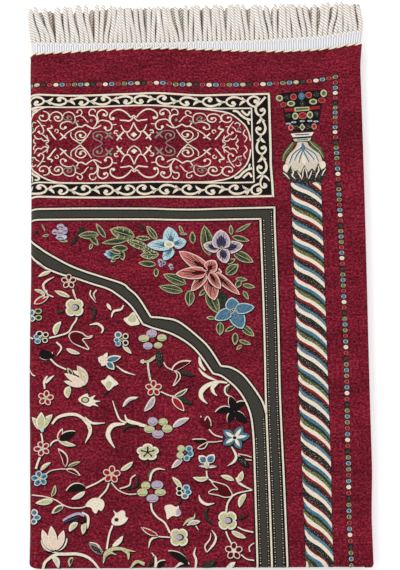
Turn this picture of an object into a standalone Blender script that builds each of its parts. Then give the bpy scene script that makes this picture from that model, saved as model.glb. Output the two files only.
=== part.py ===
"""Prayer rug folded in quarters, with a fringe sewn to each end.

The rug was folded crosswise first, its far half under the near half, and then lengthwise, its left half
under the right half. The pattern faces out. So a section along its length is a hairpin, and that hairpin
is swept round a half turn at the lengthwise fold, which leaves four layers on the ground.

A point of the rug is named by two lengths along the cloth, as it was woven: across is 0 on the centre line
and grows to the selvedge that lies on top, and along is 0 at the fringe that shows and grows to the other
end. The function fold carries such a point to its place. +Y runs from the crosswise fold to the fringes.
"""

import math

import bmesh
import bpy

# Driving dimensions, in metres
RUG_WIDTH = 0.700
RUG_LENGTH = 1.100
SHEET_THICKNESS = 0.0032
LAYER_PITCH = 0.0044  # from the middle of one layer to the middle of the next
STRAND_LENGTH = 0.039
STRAND_WIDTH = 0.0033
STRAND_THICKNESS = 0.0026
STRANDS_ACROSS = 140  # at each end of the rug
TAPE_WIDTH = 0.0115  # the woven heading that holds the strands
TAPE_THICKNESS = 0.0020
TAPE_GAP = 0.0003  # between the heading and the cloth's edge

# How loosely the layers lie
LENGTHWISE_PUFF = 0.27  # the share by which the pitch grows at the lengthwise fold
LENGTHWISE_REACH = 0.055
CROSSWISE_PUFF = 0.10
CROSSWISE_REACH = 0.030
FRINGE_SETTLE = 0.24  # the share by which the pitch shrinks at the tips of the strands
WAVE_SHARE = 0.035
WAVE_ACROSS = 0.23
WAVE_ALONG = 0.31
WAVE_PHASE = 0.6

# How far the folded rug is from a true rectangle
SELVEDGE_SETBACK = 0.0022  # the selvedges underneath stop short of the top one
CROSSWISE_SETBACK = 0.0040  # and so does the lower pair of layers at the crosswise fold
CROSSWISE_SLANT = 0.013  # the drop of that fold's line for each metre across
SELVEDGE_BAND = 0.028
SELVEDGE_DRAW = 0.18  # the share by which the selvedge band narrows at the crosswise fold
CORNER_LIFT = 0.0049  # the fringed end runs out further at its selvedge
CORNER_START = 0.305
CORNER_WIDTH = 0.055
END_WAVE = 0.0030
END_WAVE_SPAN = 0.30
END_WAVE_CREST = 0.118
END_WAVE_REACH = 0.060
SIDE_BULGE = 0.0012
SIDE_BULGE_PLACE = 0.19
SIDE_BULGE_LENGTH = 0.07
SIDE_BULGE_REACH = 0.12

# How finely the solids are divided
BEND_STEPS = 10
HAIRPIN_STEPS = 6
ACROSS_STEPS = 10  # from the bend to the raised corner, on each side
CORNER_STEPS = 8
ALONG_STATIONS = (0.0, 0.02, 0.06, 0.12, 0.20, 0.29, 0.38, 0.46, 0.515)
STRAND_STEPS = 2
STRAND_SWAY = 0.0006
SWAY_PHASE_STEP = 2.4  # from one strand to the next
SWAY_PHASE_OF_FAR_END = 1.3
SWAY_HALF_TURNS = 0.8  # along a strand
TRIM_SHARE = 0.05  # how much shorter the shortest strand is
TRIM_PHASE_STEP = 1.7
TIP_SHARE = 0.75

FOLD_PITCH = LAYER_PITCH * (1 + LENGTHWISE_PUFF)
BEND_RADIUS = 1.5 * FOLD_PITCH  # of the outer layer's middle, at the lengthwise fold
BEND_REACH = BEND_RADIUS * math.pi / 2
BEND_CENTRE = BEND_RADIUS + SHEET_THICKNESS / 2
HALF_LENGTH = RUG_LENGTH / 2
FOLDED_WIDTH = BEND_CENTRE + RUG_WIDTH / 2 - BEND_REACH

SHEET_NAME = "rug"
FRINGE_NAMES = ("fringe_top", "fringe_inner")
SHEET_COLOUR = (0.190, 0.008, 0.022)
FRINGE_COLOUR = (0.780, 0.740, 0.660)


def smooth(share):
    share = min(max(share, 0.0), 1.0)
    return share * share * (3 - 2 * share)


def pitch_at(across, from_end):
    """The pitch of the layers, at a distance across and a length from the nearer end."""
    from_bend = max(abs(across) - BEND_REACH, 0.0)
    puff = LENGTHWISE_PUFF * math.exp(-from_bend / LENGTHWISE_REACH)
    puff += CROSSWISE_PUFF * math.exp(-(HALF_LENGTH - from_end) / CROSSWISE_REACH)
    wave = math.sin(2 * math.pi * across / WAVE_ACROSS + WAVE_PHASE)
    wave *= math.sin(2 * math.pi * from_end / WAVE_ALONG)
    flat = smooth(from_bend / LENGTHWISE_REACH)
    settle = FRINGE_SETTLE * smooth(-from_end / (TAPE_WIDTH + STRAND_LENGTH))
    return LAYER_PITCH * (1 + puff + WAVE_SHARE * wave * flat) * (1 - settle)


def uneven(x, y):
    """Where a place on the true folded rectangle really lies."""
    near_end = math.exp(-abs(HALF_LENGTH - y) / END_WAVE_REACH)
    crest = END_WAVE * math.cos(2 * math.pi * (x - END_WAVE_CREST) / END_WAVE_SPAN)
    crest *= smooth((FOLDED_WIDTH - x) / CORNER_WIDTH)
    corner = CORNER_LIFT * smooth((x - CORNER_START) / CORNER_WIDTH)
    slant = CROSSWISE_SLANT * (FOLDED_WIDTH / 2 - x) * (1 - y / HALF_LENGTH)
    from_bulge = (y - SIDE_BULGE_PLACE) / SIDE_BULGE_LENGTH
    bulge = SIDE_BULGE * math.exp(-(from_bulge**2) - x / SIDE_BULGE_REACH)
    return x - bulge, y + slant + near_end * (corner + crest)


def fold(across, along, out, thickness=SHEET_THICKNESS):
    """The place of a point of the cloth. out is its height above the middle of the cloth, towards the
    pattern, and thickness is that of the cloth there."""
    from_end = min(along, RUG_LENGTH - along)
    pitch = pitch_at(across, from_end)
    hairpin = pitch / 2
    turn = (along - HALF_LENGTH) / hairpin
    if abs(turn) < math.pi / 2:
        y = -(hairpin + out) * math.cos(turn)
        lift = -(hairpin + out) * math.sin(turn)
    else:
        y = HALF_LENGTH - math.pi * hairpin / 2 - from_end
        lift = math.copysign(hairpin + out, -turn)
    radius = pitch + lift
    centre = thickness / 2 + 1.5 * pitch
    angle = min(max(across / BEND_RADIUS, -math.pi / 2), math.pi / 2)
    lower = (1 - math.sin(angle)) / 2
    inner = (1 - math.copysign(min(abs(lift) / hairpin, 1.0), lift)) / 2
    x = BEND_CENTRE - radius * math.cos(angle)
    z = centre + radius * math.sin(angle)
    flat = max(abs(across) - BEND_REACH, 0.0)
    band = max(abs(across) - (RUG_WIDTH / 2 - SELVEDGE_BAND), 0.0)
    drawn = SELVEDGE_DRAW * (1 - smooth(y / HALF_LENGTH))
    x += flat - band * drawn - SELVEDGE_SETBACK * max(lower, inner) * flat / (RUG_WIDTH / 2)
    y += CROSSWISE_SETBACK * lower * (1 - smooth(y / HALF_LENGTH))
    return *uneven(x, y), z


def stations(flat, reach, steps):
    """Places along a strip that bends in its middle: its flat places on both sides, and the bend's."""
    bend = [reach * (2 * step / steps - 1) for step in range(steps + 1)]
    outer = [place for place in flat if place > reach * 1.2]
    return [-place for place in reversed(outer)] + bend + outer


def between(start, stop, steps):
    return [start + (stop - start) * step / steps for step in range(1, steps + 1)]


def across_stations():
    """Places from the lengthwise fold to the selvedge, closer together where the fringed end runs out."""
    corner = CORNER_START - BEND_CENTRE
    return between(BEND_REACH, corner, ACROSS_STEPS) + between(corner, RUG_WIDTH / 2, CORNER_STEPS)


def material(name, colour, roughness):
    made = bpy.data.materials.new(name)
    made.use_nodes = True
    shader = made.node_tree.nodes["Principled BSDF"]
    shader.inputs["Base Color"].default_value = (*colour, 1.0)
    shader.inputs["Roughness"].default_value = roughness
    shader.inputs["Metallic"].default_value = 0.0
    return made


def finish(name, bm, made_of):
    bmesh.ops.recalc_face_normals(bm, faces=bm.faces)
    mesh = bpy.data.meshes.new(name)
    bm.to_mesh(mesh)
    bm.free()
    mesh.materials.append(made_of)
    item = bpy.data.objects.new(name, mesh)
    bpy.context.scene.collection.objects.link(item)
    return item


def add_grid(bm, columns, rows, place):
    """Vertices at every crossing of the columns and rows, and a quad in every cell."""
    grid = [[bm.verts.new(place(column, row)) for row in rows] for column in columns]
    for left, right in zip(grid, grid[1:]):
        for low in range(len(rows) - 1):
            bm.faces.new((left[low], right[low], right[low + 1], left[low + 1]))
    return grid


def join_rims(bm, first, second):
    """Walls between two rows of vertices that face each other."""
    for step in range(len(first) - 1):
        bm.faces.new((first[step], first[step + 1], second[step + 1], second[step]))


def make_sheet():
    """The rug itself: one cloth of even thickness, hems and all, in its four layers."""
    columns = stations(across_stations(), BEND_REACH, BEND_STEPS)
    hairpin_reach = LAYER_PITCH * math.pi / 4
    halves = [HALF_LENGTH - place for place in reversed(ALONG_STATIONS)]
    rows = [HALF_LENGTH + place for place in stations(halves, hairpin_reach, HAIRPIN_STEPS)]
    bm = bmesh.new()
    half = SHEET_THICKNESS / 2
    front = add_grid(bm, columns, rows, lambda across, along: fold(across, along, half))
    back = add_grid(bm, columns, rows, lambda across, along: fold(across, along, -half))
    for end in (0, -1):
        join_rims(bm, front[end], back[end])
        join_rims(bm, [column[end] for column in front], [column[end] for column in back])
    return finish(SHEET_NAME, bm, material("chenille", SHEET_COLOUR, 0.9))


def strand_places():
    """The two edges of each strand's root, across the rug."""
    pitch = RUG_WIDTH / STRANDS_ACROSS
    middles = [pitch * (step + 0.5) - RUG_WIDTH / 2 for step in range(STRANDS_ACROSS)]
    return [(middle - STRAND_WIDTH / 2, middle + STRAND_WIDTH / 2) for middle in middles]


def fringe_fold(far_end, across, beyond, out, thickness):
    """The place of a point beyond an end of the rug, at one of its two ends."""
    along = RUG_LENGTH + beyond if far_end else -beyond
    return fold(across, along, out, thickness)


def add_strand(bm, far_end, number, root, edges):
    """Carries a strand's root face out from the heading, ring by ring, to its tip."""
    sway = STRAND_SWAY * math.sin(SWAY_PHASE_STEP * number + SWAY_PHASE_OF_FAR_END * far_end)
    length = STRAND_LENGTH * (1 - TRIM_SHARE * abs(math.sin(TRIM_PHASE_STEP * number)))
    ring = root
    for step in range(1, STRAND_STEPS + 1):
        share = step / STRAND_STEPS
        narrow = 1 - (1 - TIP_SHARE) * share
        middle = sum(edges) / 2 + sway * math.sin(math.pi * SWAY_HALF_TURNS * share)
        half = STRAND_WIDTH / 2 * narrow
        thick = STRAND_THICKNESS * narrow
        beyond = TAPE_GAP + TAPE_WIDTH + length * share
        corners = ((-half, -thick / 2), (half, -thick / 2), (half, thick / 2), (-half, thick / 2))
        fresh = [
            bm.verts.new(fringe_fold(far_end, middle + side, beyond, out, thick))
            for side, out in corners
        ]
        for corner in range(4):
            after = (corner + 1) % 4
            bm.faces.new((ring[corner], ring[after], fresh[after], fresh[corner]))
        ring = fresh
    bm.faces.new(ring)


def make_fringe(name, far_end, made_of):
    """A heading tape along one end of the rug, and the strands that grow out of it."""
    bm = bmesh.new()
    places = strand_places()
    columns = sorted({-RUG_WIDTH / 2, RUG_WIDTH / 2, *(edge for pair in places for edge in pair)})
    rows = (TAPE_GAP, TAPE_GAP + TAPE_WIDTH)
    half = TAPE_THICKNESS / 2

    def level(out):
        return lambda across, beyond: fringe_fold(far_end, across, beyond, out, TAPE_THICKNESS)

    under, over = (add_grid(bm, columns, rows, level(out)) for out in (-half, half))
    for end in (0, -1):
        join_rims(bm, under[end], over[end])
    join_rims(bm, [column[0] for column in under], [column[0] for column in over])
    roots = {columns.index(pair[0]): number for number, pair in enumerate(places)}
    for step in range(len(columns) - 1):
        root = (under[step][1], under[step + 1][1], over[step + 1][1], over[step][1])
        if step in roots:
            add_strand(bm, far_end, roots[step], root, places[roots[step]])
        else:
            bm.faces.new(root)
    return finish(name, bm, made_of)


def centre_on_ground(items):
    """Moves the meshes so that the middle of the whole object's footprint is at the origin."""
    for axis in (0, 1):
        places = [vertex.co[axis] for item in items for vertex in item.data.vertices]
        middle = (min(places) + max(places)) / 2
        for item in items:
            for vertex in item.data.vertices:
                vertex.co[axis] -= middle


def main():
    for old in list(bpy.data.objects):
        bpy.data.objects.remove(old, do_unlink=True)
    fringe_yarn = material("fringe_yarn", FRINGE_COLOUR, 0.95)
    items = [make_sheet()]
    items += [make_fringe(name, far_end, fringe_yarn) for far_end, name in enumerate(FRINGE_NAMES)]
    centre_on_ground(items)


main()
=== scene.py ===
"""The looks of a chenille prayer rug that lies folded in quarters: its pile, its woven figures and its fringes.

Every place on the cloth is named as on the loom, in millimetres: across, from the centre line to the selvedge,
and along, from the end that shows its fringe. The function fold carries such a place onto the folded cloth.
"""

import math

import bpy
import numpy as np
from mathutils import Matrix, Vector
from mathutils.geometry import tessellate_polygon


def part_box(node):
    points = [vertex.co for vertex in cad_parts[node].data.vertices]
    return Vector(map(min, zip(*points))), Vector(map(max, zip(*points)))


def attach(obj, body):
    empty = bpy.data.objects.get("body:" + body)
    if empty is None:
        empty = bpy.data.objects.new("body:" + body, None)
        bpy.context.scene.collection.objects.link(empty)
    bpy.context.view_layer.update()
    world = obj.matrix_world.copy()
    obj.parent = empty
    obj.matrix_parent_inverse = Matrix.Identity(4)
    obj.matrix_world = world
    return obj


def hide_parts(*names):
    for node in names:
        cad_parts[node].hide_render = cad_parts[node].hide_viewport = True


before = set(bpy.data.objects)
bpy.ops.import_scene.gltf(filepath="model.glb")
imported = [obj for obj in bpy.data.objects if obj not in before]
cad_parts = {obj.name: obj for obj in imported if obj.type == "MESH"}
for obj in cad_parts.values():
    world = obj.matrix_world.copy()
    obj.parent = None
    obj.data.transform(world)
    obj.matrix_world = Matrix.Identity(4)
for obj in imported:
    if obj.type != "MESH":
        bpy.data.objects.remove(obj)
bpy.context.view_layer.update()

# The cloth, in millimetres. These are the sizes that its solid was made with.
RUG_WIDTH = 700.0
RUG_LENGTH = 1100.0
SHEET_THICKNESS = 3.2
LAYER_PITCH = 4.4
STRAND_LENGTH = 39.0
STRANDS_ACROSS = 140
TAPE_WIDTH = 11.5
TAPE_THICKNESS = 2.0
TAPE_GAP = 0.3
LENGTHWISE_PUFF = 0.27
LENGTHWISE_REACH = 55.0
CROSSWISE_PUFF = 0.10
CROSSWISE_REACH = 30.0
FRINGE_SETTLE = 0.24
WAVE_SHARE = 0.035
WAVE_ACROSS = 230.0
WAVE_ALONG = 310.0
WAVE_PHASE = 0.6
SELVEDGE_SETBACK = 2.2
CROSSWISE_SETBACK = 4.0
CROSSWISE_SLANT = 0.013
SELVEDGE_BAND = 28.0
SELVEDGE_DRAW = 0.18
CORNER_LIFT = 4.9
CORNER_START = 305.0
CORNER_WIDTH = 55.0
END_WAVE = 3.0
END_WAVE_SPAN = 300.0
END_WAVE_CREST = 118.0
END_WAVE_REACH = 60.0
SIDE_BULGE = 1.2
SIDE_BULGE_PLACE = 190.0
SIDE_BULGE_LENGTH = 70.0
SIDE_BULGE_REACH = 120.0
# How far the fringed corner at the selvedge spreads past its solid, and from where
CORNER_FLARE = 6.8
FLARE_START = 270.0
FLARE_WIDTH = 80.0
FLARE_BEFORE_END = 34.0
FLARE_LENGTH = 70.0
# How far the corner at the crosswise fold is drawn in, and from where
FOLD_TUCK = 2.2
TUCK_START = 250.0
TUCK_WIDTH = 100.0
TUCK_END = 100.0
TUCK_LENGTH = 60.0
# How far the lengthwise fold spreads near the fringed end, and from where
LEFT_SPREAD = 1.2
LEFT_SPREAD_START = 440.0
LEFT_SPREAD_LENGTH = 90.0
LEFT_SPREAD_REACH = 60.0
# How far the strands at the lengthwise fold spread, and from where
FRINGE_SPREAD = 6.0
FRINGE_SPREAD_BEFORE_END = 2.0
FRINGE_SPREAD_LENGTH = 50.0
FRINGE_SPREAD_REACH = 30.0

HALF_WIDTH = RUG_WIDTH / 2
HALF_LENGTH = RUG_LENGTH / 2
HALF_THICKNESS = SHEET_THICKNESS / 2
BEND_RADIUS = 1.5 * LAYER_PITCH * (1 + LENGTHWISE_PUFF)
BEND_REACH = BEND_RADIUS * math.pi / 2
BEND_CENTRE = BEND_RADIUS + HALF_THICKNESS
FOLDED_WIDTH = BEND_CENTRE + HALF_WIDTH - BEND_REACH
MILLIMETRE = 0.001

# The camera, fitted to the photograph's outline of the rug
CAMERA_ELEVATION = 73.67
CAMERA_AZIMUTH = 1.05
CAMERA_DISTANCE = 2.2943
CAMERA_LENS = 140.70
SENSOR = 36.0
CAMERA_TARGET = (173.9, 289.1, 10.0)  # from the lengthwise and crosswise folds


# ---------------------------------------------------------------- the folded cloth


def smooth(share):
    share = np.clip(share, 0.0, 1.0)
    return share * share * (3 - 2 * share)


def pitch_at(across, from_end):
    """The pitch of the layers, at a distance across and a length from the nearer end."""
    from_bend = np.maximum(np.abs(across) - BEND_REACH, 0.0)
    puff = LENGTHWISE_PUFF * np.exp(-from_bend / LENGTHWISE_REACH)
    puff = puff + CROSSWISE_PUFF * np.exp(-(HALF_LENGTH - from_end) / CROSSWISE_REACH)
    wave = np.sin(2 * np.pi * across / WAVE_ACROSS + WAVE_PHASE)
    wave = wave * np.sin(2 * np.pi * from_end / WAVE_ALONG)
    flat = smooth(from_bend / LENGTHWISE_REACH)
    settle = FRINGE_SETTLE * smooth(-from_end / (TAPE_WIDTH + STRAND_LENGTH))
    return LAYER_PITCH * (1 + puff + WAVE_SHARE * wave * flat) * (1 - settle)


def uneven(x, y):
    """Where a place on the true folded rectangle really lies."""
    near_end = np.exp(-np.abs(HALF_LENGTH - y) / END_WAVE_REACH)
    crest = END_WAVE * np.cos(2 * np.pi * (x - END_WAVE_CREST) / END_WAVE_SPAN)
    crest = crest * smooth((FOLDED_WIDTH - x) / CORNER_WIDTH)
    corner = CORNER_LIFT * smooth((x - CORNER_START) / CORNER_WIDTH)
    slant = CROSSWISE_SLANT * (FOLDED_WIDTH / 2 - x) * (1 - y / HALF_LENGTH)
    from_bulge = (y - SIDE_BULGE_PLACE) / SIDE_BULGE_LENGTH
    bulge = SIDE_BULGE * np.exp(-(from_bulge**2) - x / SIDE_BULGE_REACH)
    flare = CORNER_FLARE * smooth((x - FLARE_START) / FLARE_WIDTH)
    flare = flare * smooth((y - HALF_LENGTH + FLARE_BEFORE_END) / FLARE_LENGTH)
    tuck = FOLD_TUCK * smooth((x - TUCK_START) / TUCK_WIDTH) * smooth((TUCK_END - y) / TUCK_LENGTH)
    spread = LEFT_SPREAD * smooth((y - LEFT_SPREAD_START) / LEFT_SPREAD_LENGTH) * np.exp(-x / LEFT_SPREAD_REACH)
    fringe = FRINGE_SPREAD * smooth((y - HALF_LENGTH + FRINGE_SPREAD_BEFORE_END) / FRINGE_SPREAD_LENGTH)
    spread = spread + fringe * np.exp(-np.maximum(x, 0) / FRINGE_SPREAD_REACH)
    return x - bulge - spread + flare - tuck, y + slant + near_end * (corner + crest)


def fold(across, along, out, thickness=SHEET_THICKNESS):
    """Places of points of the cloth, in millimetres from the two folds. out is a height above the middle of
    the cloth, towards the pattern, and thickness is that of the cloth there."""
    across, along, out = np.broadcast_arrays(*(np.asarray(v, float) for v in (across, along, out)))
    from_end = np.minimum(along, RUG_LENGTH - along)
    pitch = pitch_at(across, from_end)
    hairpin = pitch / 2
    turn = (along - HALF_LENGTH) / hairpin
    turned = np.clip(turn, -np.pi / 2, np.pi / 2)
    in_hairpin = np.abs(turn) < np.pi / 2
    y = np.where(in_hairpin, -(hairpin + out) * np.cos(turned), HALF_LENGTH - np.pi * hairpin / 2 - from_end)
    lift = -(hairpin + out) * np.sin(turned)
    radius = pitch + lift
    angle = np.clip(across / BEND_RADIUS, -np.pi / 2, np.pi / 2)
    lower = (1 - np.sin(angle)) / 2
    inner = (1 - np.clip(lift / hairpin, -1, 1)) / 2
    x = BEND_CENTRE - radius * np.cos(angle)
    z = thickness / 2 + 1.5 * pitch + radius * np.sin(angle)
    flat = np.maximum(np.abs(across) - BEND_REACH, 0.0)
    band = np.maximum(np.abs(across) - (HALF_WIDTH - SELVEDGE_BAND), 0.0)
    drawn = SELVEDGE_DRAW * (1 - smooth(y / HALF_LENGTH))
    x = x + flat - band * drawn - SELVEDGE_SETBACK * np.maximum(lower, inner) * flat / HALF_WIDTH
    y = y + CROSSWISE_SETBACK * lower * (1 - smooth(y / HALF_LENGTH))
    x, y = uneven(x, y)
    return np.stack([x, y, z], -1)


def folded_corner():
    """Where the least x and y of the folded cloth lie, so that it can be set on its CAD node."""
    rim = np.linspace(-BEND_REACH, BEND_REACH, 81)
    side = fold(rim[:, None], np.linspace(0, RUG_LENGTH, 221)[None, :], HALF_THICKNESS)
    front = fold(np.linspace(-HALF_WIDTH, HALF_WIDTH, 141), HALF_LENGTH, HALF_THICKNESS)
    return side[..., 0].min(), front[:, 1].min()


CORNER = folded_corner()
CAD_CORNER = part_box("rug")[0]


def placed(points):
    """Metres in the row frame, from millimetres measured from the two folds."""
    points = np.asarray(points, float) * MILLIMETRE
    points[..., 0] += CAD_CORNER[0] - CORNER[0] * MILLIMETRE
    points[..., 1] += CAD_CORNER[1] - CORNER[1] * MILLIMETRE
    return points


# ---------------------------------------------------------------- camera, light and floor

WORLD_STRENGTH = 0.75
FLOOR_REACH = 4.0
FLOOR_LEVEL = -0.0006
FLOOR_GLOW = 0.3


def aim(item, target):
    item.rotation_mode = "QUATERNION"
    item.rotation_quaternion = (Vector(target) - item.location).to_track_quat("-Z", "Y")


def make_camera():
    data = bpy.data.cameras.new("camera")
    data.lens = CAMERA_LENS
    data.sensor_width = SENSOR
    camera = bpy.data.objects.new("camera", data)
    bpy.context.scene.collection.objects.link(camera)
    target = Vector(placed([CAMERA_TARGET])[0])
    azimuth = math.radians(CAMERA_AZIMUTH)
    elevation = math.radians(CAMERA_ELEVATION)
    flat = math.cos(elevation)
    look = Vector((math.sin(azimuth) * flat, math.cos(azimuth) * flat, -math.sin(elevation)))
    camera.location = target - look * CAMERA_DISTANCE
    right = Vector((math.cos(azimuth), -math.sin(azimuth), 0.0))
    camera.rotation_mode = "QUATERNION"
    turned = Matrix((right, right.cross(look), -look)).transposed()
    camera.rotation_quaternion = turned.to_quaternion()
    data.clip_start = 0.1
    data.clip_end = 50.0
    bpy.context.scene.camera = camera


def make_light(name, place, size, watts):
    data = bpy.data.lights.new(name, "AREA")
    data.shape = "SQUARE"
    data.size = size
    data.energy = watts
    lamp = bpy.data.objects.new(name, data)
    bpy.context.scene.collection.objects.link(lamp)
    lamp.location = place
    aim(lamp, (0.0, 0.0, 0.0))


def make_studio():
    scene = bpy.context.scene
    scene.view_settings.view_transform = "Standard"
    world = bpy.data.worlds.new("studio")
    scene.world = world
    world.use_nodes = True
    background = world.node_tree.nodes["Background"]
    background.inputs["Color"].default_value = (1.0, 1.0, 1.0, 1.0)
    background.inputs["Strength"].default_value = WORLD_STRENGTH
    make_light("soft_key", (-1.1, 1.0, 1.9), 1.2, 22.0)
    make_light("soft_fill", (1.4, -0.9, 2.0), 1.8, 9.0)
    mesh = bpy.data.meshes.new("floor")
    signs = ((-1, -1), (1, -1), (1, 1), (-1, 1))
    mesh.from_pydata([(x * FLOOR_REACH, y * FLOOR_REACH, FLOOR_LEVEL) for x, y in signs], [], [(0, 1, 2, 3)])
    floor = bpy.data.objects.new("floor", mesh)
    scene.collection.objects.link(floor)
    pale = bpy.data.materials.new("pale_floor")
    pale.use_nodes = True
    shader = pale.node_tree.nodes["Principled BSDF"]
    shader.inputs["Base Color"].default_value = (0.93, 0.93, 0.93, 1.0)
    shader.inputs["Emission Color"].default_value = (1.0, 1.0, 1.0, 1.0)
    shader.inputs["Emission Strength"].default_value = FLOOR_GLOW
    shader.inputs["Roughness"].default_value = 0.9
    shader.inputs["Specular IOR Level"].default_value = 0.1
    mesh.materials.append(pale)


make_camera()
make_studio()


# ---------------------------------------------------------------- meshes

LOOM_UNIT = 0.01  # of the loom's coordinates in the materials, for each millimetre


def new_piece(name, points, faces, material, cloth):
    """A piece that rides on the root body. cloth holds each point's place on the loom, for its weave."""
    mesh = bpy.data.meshes.new(name)
    mesh.from_pydata(placed(points).tolist(), [], [tuple(face) for face in faces])
    mesh.polygons.foreach_set("use_smooth", [True] * len(mesh.polygons))
    loops = np.empty(len(mesh.loops), np.int32)
    mesh.loops.foreach_get("vertex_index", loops)
    layer = mesh.uv_layers.new(name="loom")
    layer.data.foreach_set("uv", (np.asarray(cloth)[loops] * LOOM_UNIT).ravel())
    mesh.materials.append(material)
    mesh.update()
    piece = bpy.data.objects.new(name, mesh)
    bpy.context.scene.collection.objects.link(piece)
    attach(piece, "root")
    return piece


def quads_between(number):
    """Quads between neighbours in a grid of point numbers."""
    corners = number[:-1, :-1], number[1:, :-1], number[1:, 1:], number[:-1, 1:]
    return np.stack(corners, -1).reshape(-1, 4)


def tube_faces(rings, sides, start=0, clockwise=False):
    """Quads round a tube whose points are numbered ring by ring from start, then a cap at each of its ends."""
    number = start + np.arange(rings * sides).reshape(rings, sides)
    wrapped = np.hstack([number, number[:, :1]])
    if clockwise:
        return quads_between(wrapped).tolist() + [number[0].tolist(), number[-1][::-1].tolist()]
    return quads_between(wrapped.T).tolist() + [number[0][::-1].tolist(), number[-1].tolist()]


def turned_over(faces):
    return [face[::-1] for face in faces]


def band_faces(count):
    """Triangles between two lines of count points each, the second numbered after the first."""
    first = np.arange(count - 1)
    upper = np.stack([first, first + 1, first + 1 + count], -1)
    return np.vstack([upper, np.stack([first, first + 1 + count, first + count], -1)])


# ---------------------------------------------------------------- materials


class Nodes:
    """A material's node tree, built by short calls."""

    def __init__(self, name):
        self.material = bpy.data.materials.new(name)
        self.material.use_nodes = True
        self.tree = self.material.node_tree
        self.shader = self.tree.nodes["Principled BSDF"]
        self.loom = self.add("ShaderNodeUVMap", uv_map="loom").outputs["UV"]

    def add(self, kind, **values):
        node = self.tree.nodes.new(kind)
        for key, value in values.items():
            setattr(node, key, value)
        return node

    def link(self, source, target):
        self.tree.links.new(source, target)

    def stretch(self, scale):
        """The loom's coordinates, drawn out by scale, which is in repeats for each 100 mm."""
        node = self.add("ShaderNodeMapping")
        self.link(self.loom, node.inputs["Vector"])
        node.inputs["Scale"].default_value = (*scale, 1.0)
        return node.outputs["Vector"]

    def noise(self, scale, detail, rough=0.5):
        node = self.add("ShaderNodeTexNoise")
        self.link(self.stretch(scale), node.inputs["Vector"])
        node.inputs["Scale"].default_value = 1.0
        node.inputs["Detail"].default_value = detail
        node.inputs["Roughness"].default_value = rough
        return node.outputs["Fac"]

    def ramp(self, source, stops):
        """A colour ramp, with stops as (place, colour) pairs."""
        node = self.add("ShaderNodeValToRGB")
        while len(node.color_ramp.elements) < len(stops):
            node.color_ramp.elements.new(0.5)
        for element, (place, colour) in zip(node.color_ramp.elements, stops):
            element.position = place
            element.color = (*colour, 1.0)
        self.link(source, node.inputs["Fac"])
        return node.outputs["Color"]

    def feed(self, sockets, values):
        """Links or sets each socket, by what its value is."""
        for socket, value in zip(sockets, values):
            if isinstance(value, bpy.types.NodeSocket):
                self.link(value, socket)
            else:
                socket.default_value = value

    def mix(self, kind, share, first, second):
        node = self.add("ShaderNodeMix", data_type="RGBA", blend_type=kind)
        self.feed((node.inputs[0], node.inputs[6], node.inputs[7]), (share, first, second))
        return node.outputs[2]

    def math(self, kind, first, second):
        node = self.add("ShaderNodeMath", operation=kind)
        self.feed(node.inputs, (first, second))
        return node.outputs["Value"]

    def finish(self, colour, height, depth, roughness=0.9, sheen=0.0):
        """Feeds the shader. depth is how deep the relief in height goes, in metres."""
        self.link(colour, self.shader.inputs["Base Color"])
        self.shader.inputs["Roughness"].default_value = roughness
        self.shader.inputs["Specular IOR Level"].default_value = 0.08
        self.shader.inputs["Sheen Weight"].default_value = sheen
        self.shader.inputs["Sheen Roughness"].default_value = 0.5
        bump = self.add("ShaderNodeBump")
        bump.inputs["Strength"].default_value = 1.0
        bump.inputs["Distance"].default_value = depth
        self.link(height, bump.inputs["Height"])
        self.link(bump.outputs["Normal"], self.shader.inputs["Normal"])
        return self.material


def grey(value):
    return (value, value, value)


# The crimson's colours, dark to light, by the grain's height
CRIMSON = ((0.39, (0.072, 0.0012, 0.0055)), (0.5, (0.158, 0.006, 0.0185)), (0.61, (0.31, 0.034, 0.056)))


def chenille():
    """Crimson pile: a fine grain drawn out along the weft, soft streaks and the wide shading of brushed nap."""
    n = Nodes("chenille")
    grain = n.noise((36.0, 50.0), 4.0, rough=0.85)
    streak = n.noise((7.0, 34.0), 3.0)
    nap = n.noise((1.6, 3.6), 3.0)
    base = n.ramp(grain, CRIMSON)
    base = n.mix("MULTIPLY", 1.0, base, n.ramp(streak, [(0.34, grey(0.74)), (0.62, grey(1.14))]))
    base = n.mix("MULTIPLY", 1.0, base, n.ramp(nap, [(0.34, grey(0.74)), (0.66, grey(1.14))]))
    height = n.math("ADD", n.math("MULTIPLY", grain, 0.7), n.math("MULTIPLY", streak, 0.3))
    return n.finish(base, height, 0.0007, 0.95)


def figure_yarn(name, colour, spread, speck=None, fleck=0.0):
    """Woven figure yarn: ribbed across the weft, with a little unevenness. speck is a second yarn's colour
    that shows through over the share fleck."""
    n = Nodes(name)
    grain = n.noise((58.0, 66.0), 3.0, rough=0.65)
    dark = tuple(c * (1 - 2.2 * spread) for c in colour)
    light = tuple(min(c * (1 + spread), 1.0) for c in colour)
    base = n.ramp(grain, [(0.3, dark), (0.5, colour), (0.68, light)])
    if speck:
        spots = n.noise((66.0, 74.0), 2.0)
        edge = 0.5 + (0.5 - fleck) * 0.4
        share = n.ramp(spots, [(edge - 0.02, grey(0.0)), (edge + 0.02, grey(1.0))])
        base = n.mix("MIX", share, base, (*speck, 1.0))
    return n.finish(base, grain, 0.0005, 0.85, 0.1)


def fringe_yarn(name, colour, shade, deep):
    """Cotton whose plies or ribs are told apart by the first loom coordinate, which is 0 in a groove and 1 on a
    crown. colour lies on the crowns. shade beside them and deep in the grooves are painted shade."""
    n = Nodes(name)
    split = n.add("ShaderNodeSeparateXYZ")
    n.link(n.loom, split.inputs["Vector"])
    # Painted shade: deep fills the grooves and shade lies beside the crowns.
    base = n.ramp(split.outputs["X"], [(0.04, deep), (0.42, shade), (0.75, colour)])
    fibre = n.noise((14.0, 120.0), 2.0)
    base = n.mix("MULTIPLY", 1.0, base, n.ramp(fibre, [(0.3, grey(0.88)), (0.7, grey(1.04))]))
    return n.finish(base, fibre, 0.0001, 0.9)


# ---------------------------------------------------------------- the cloth

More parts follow.
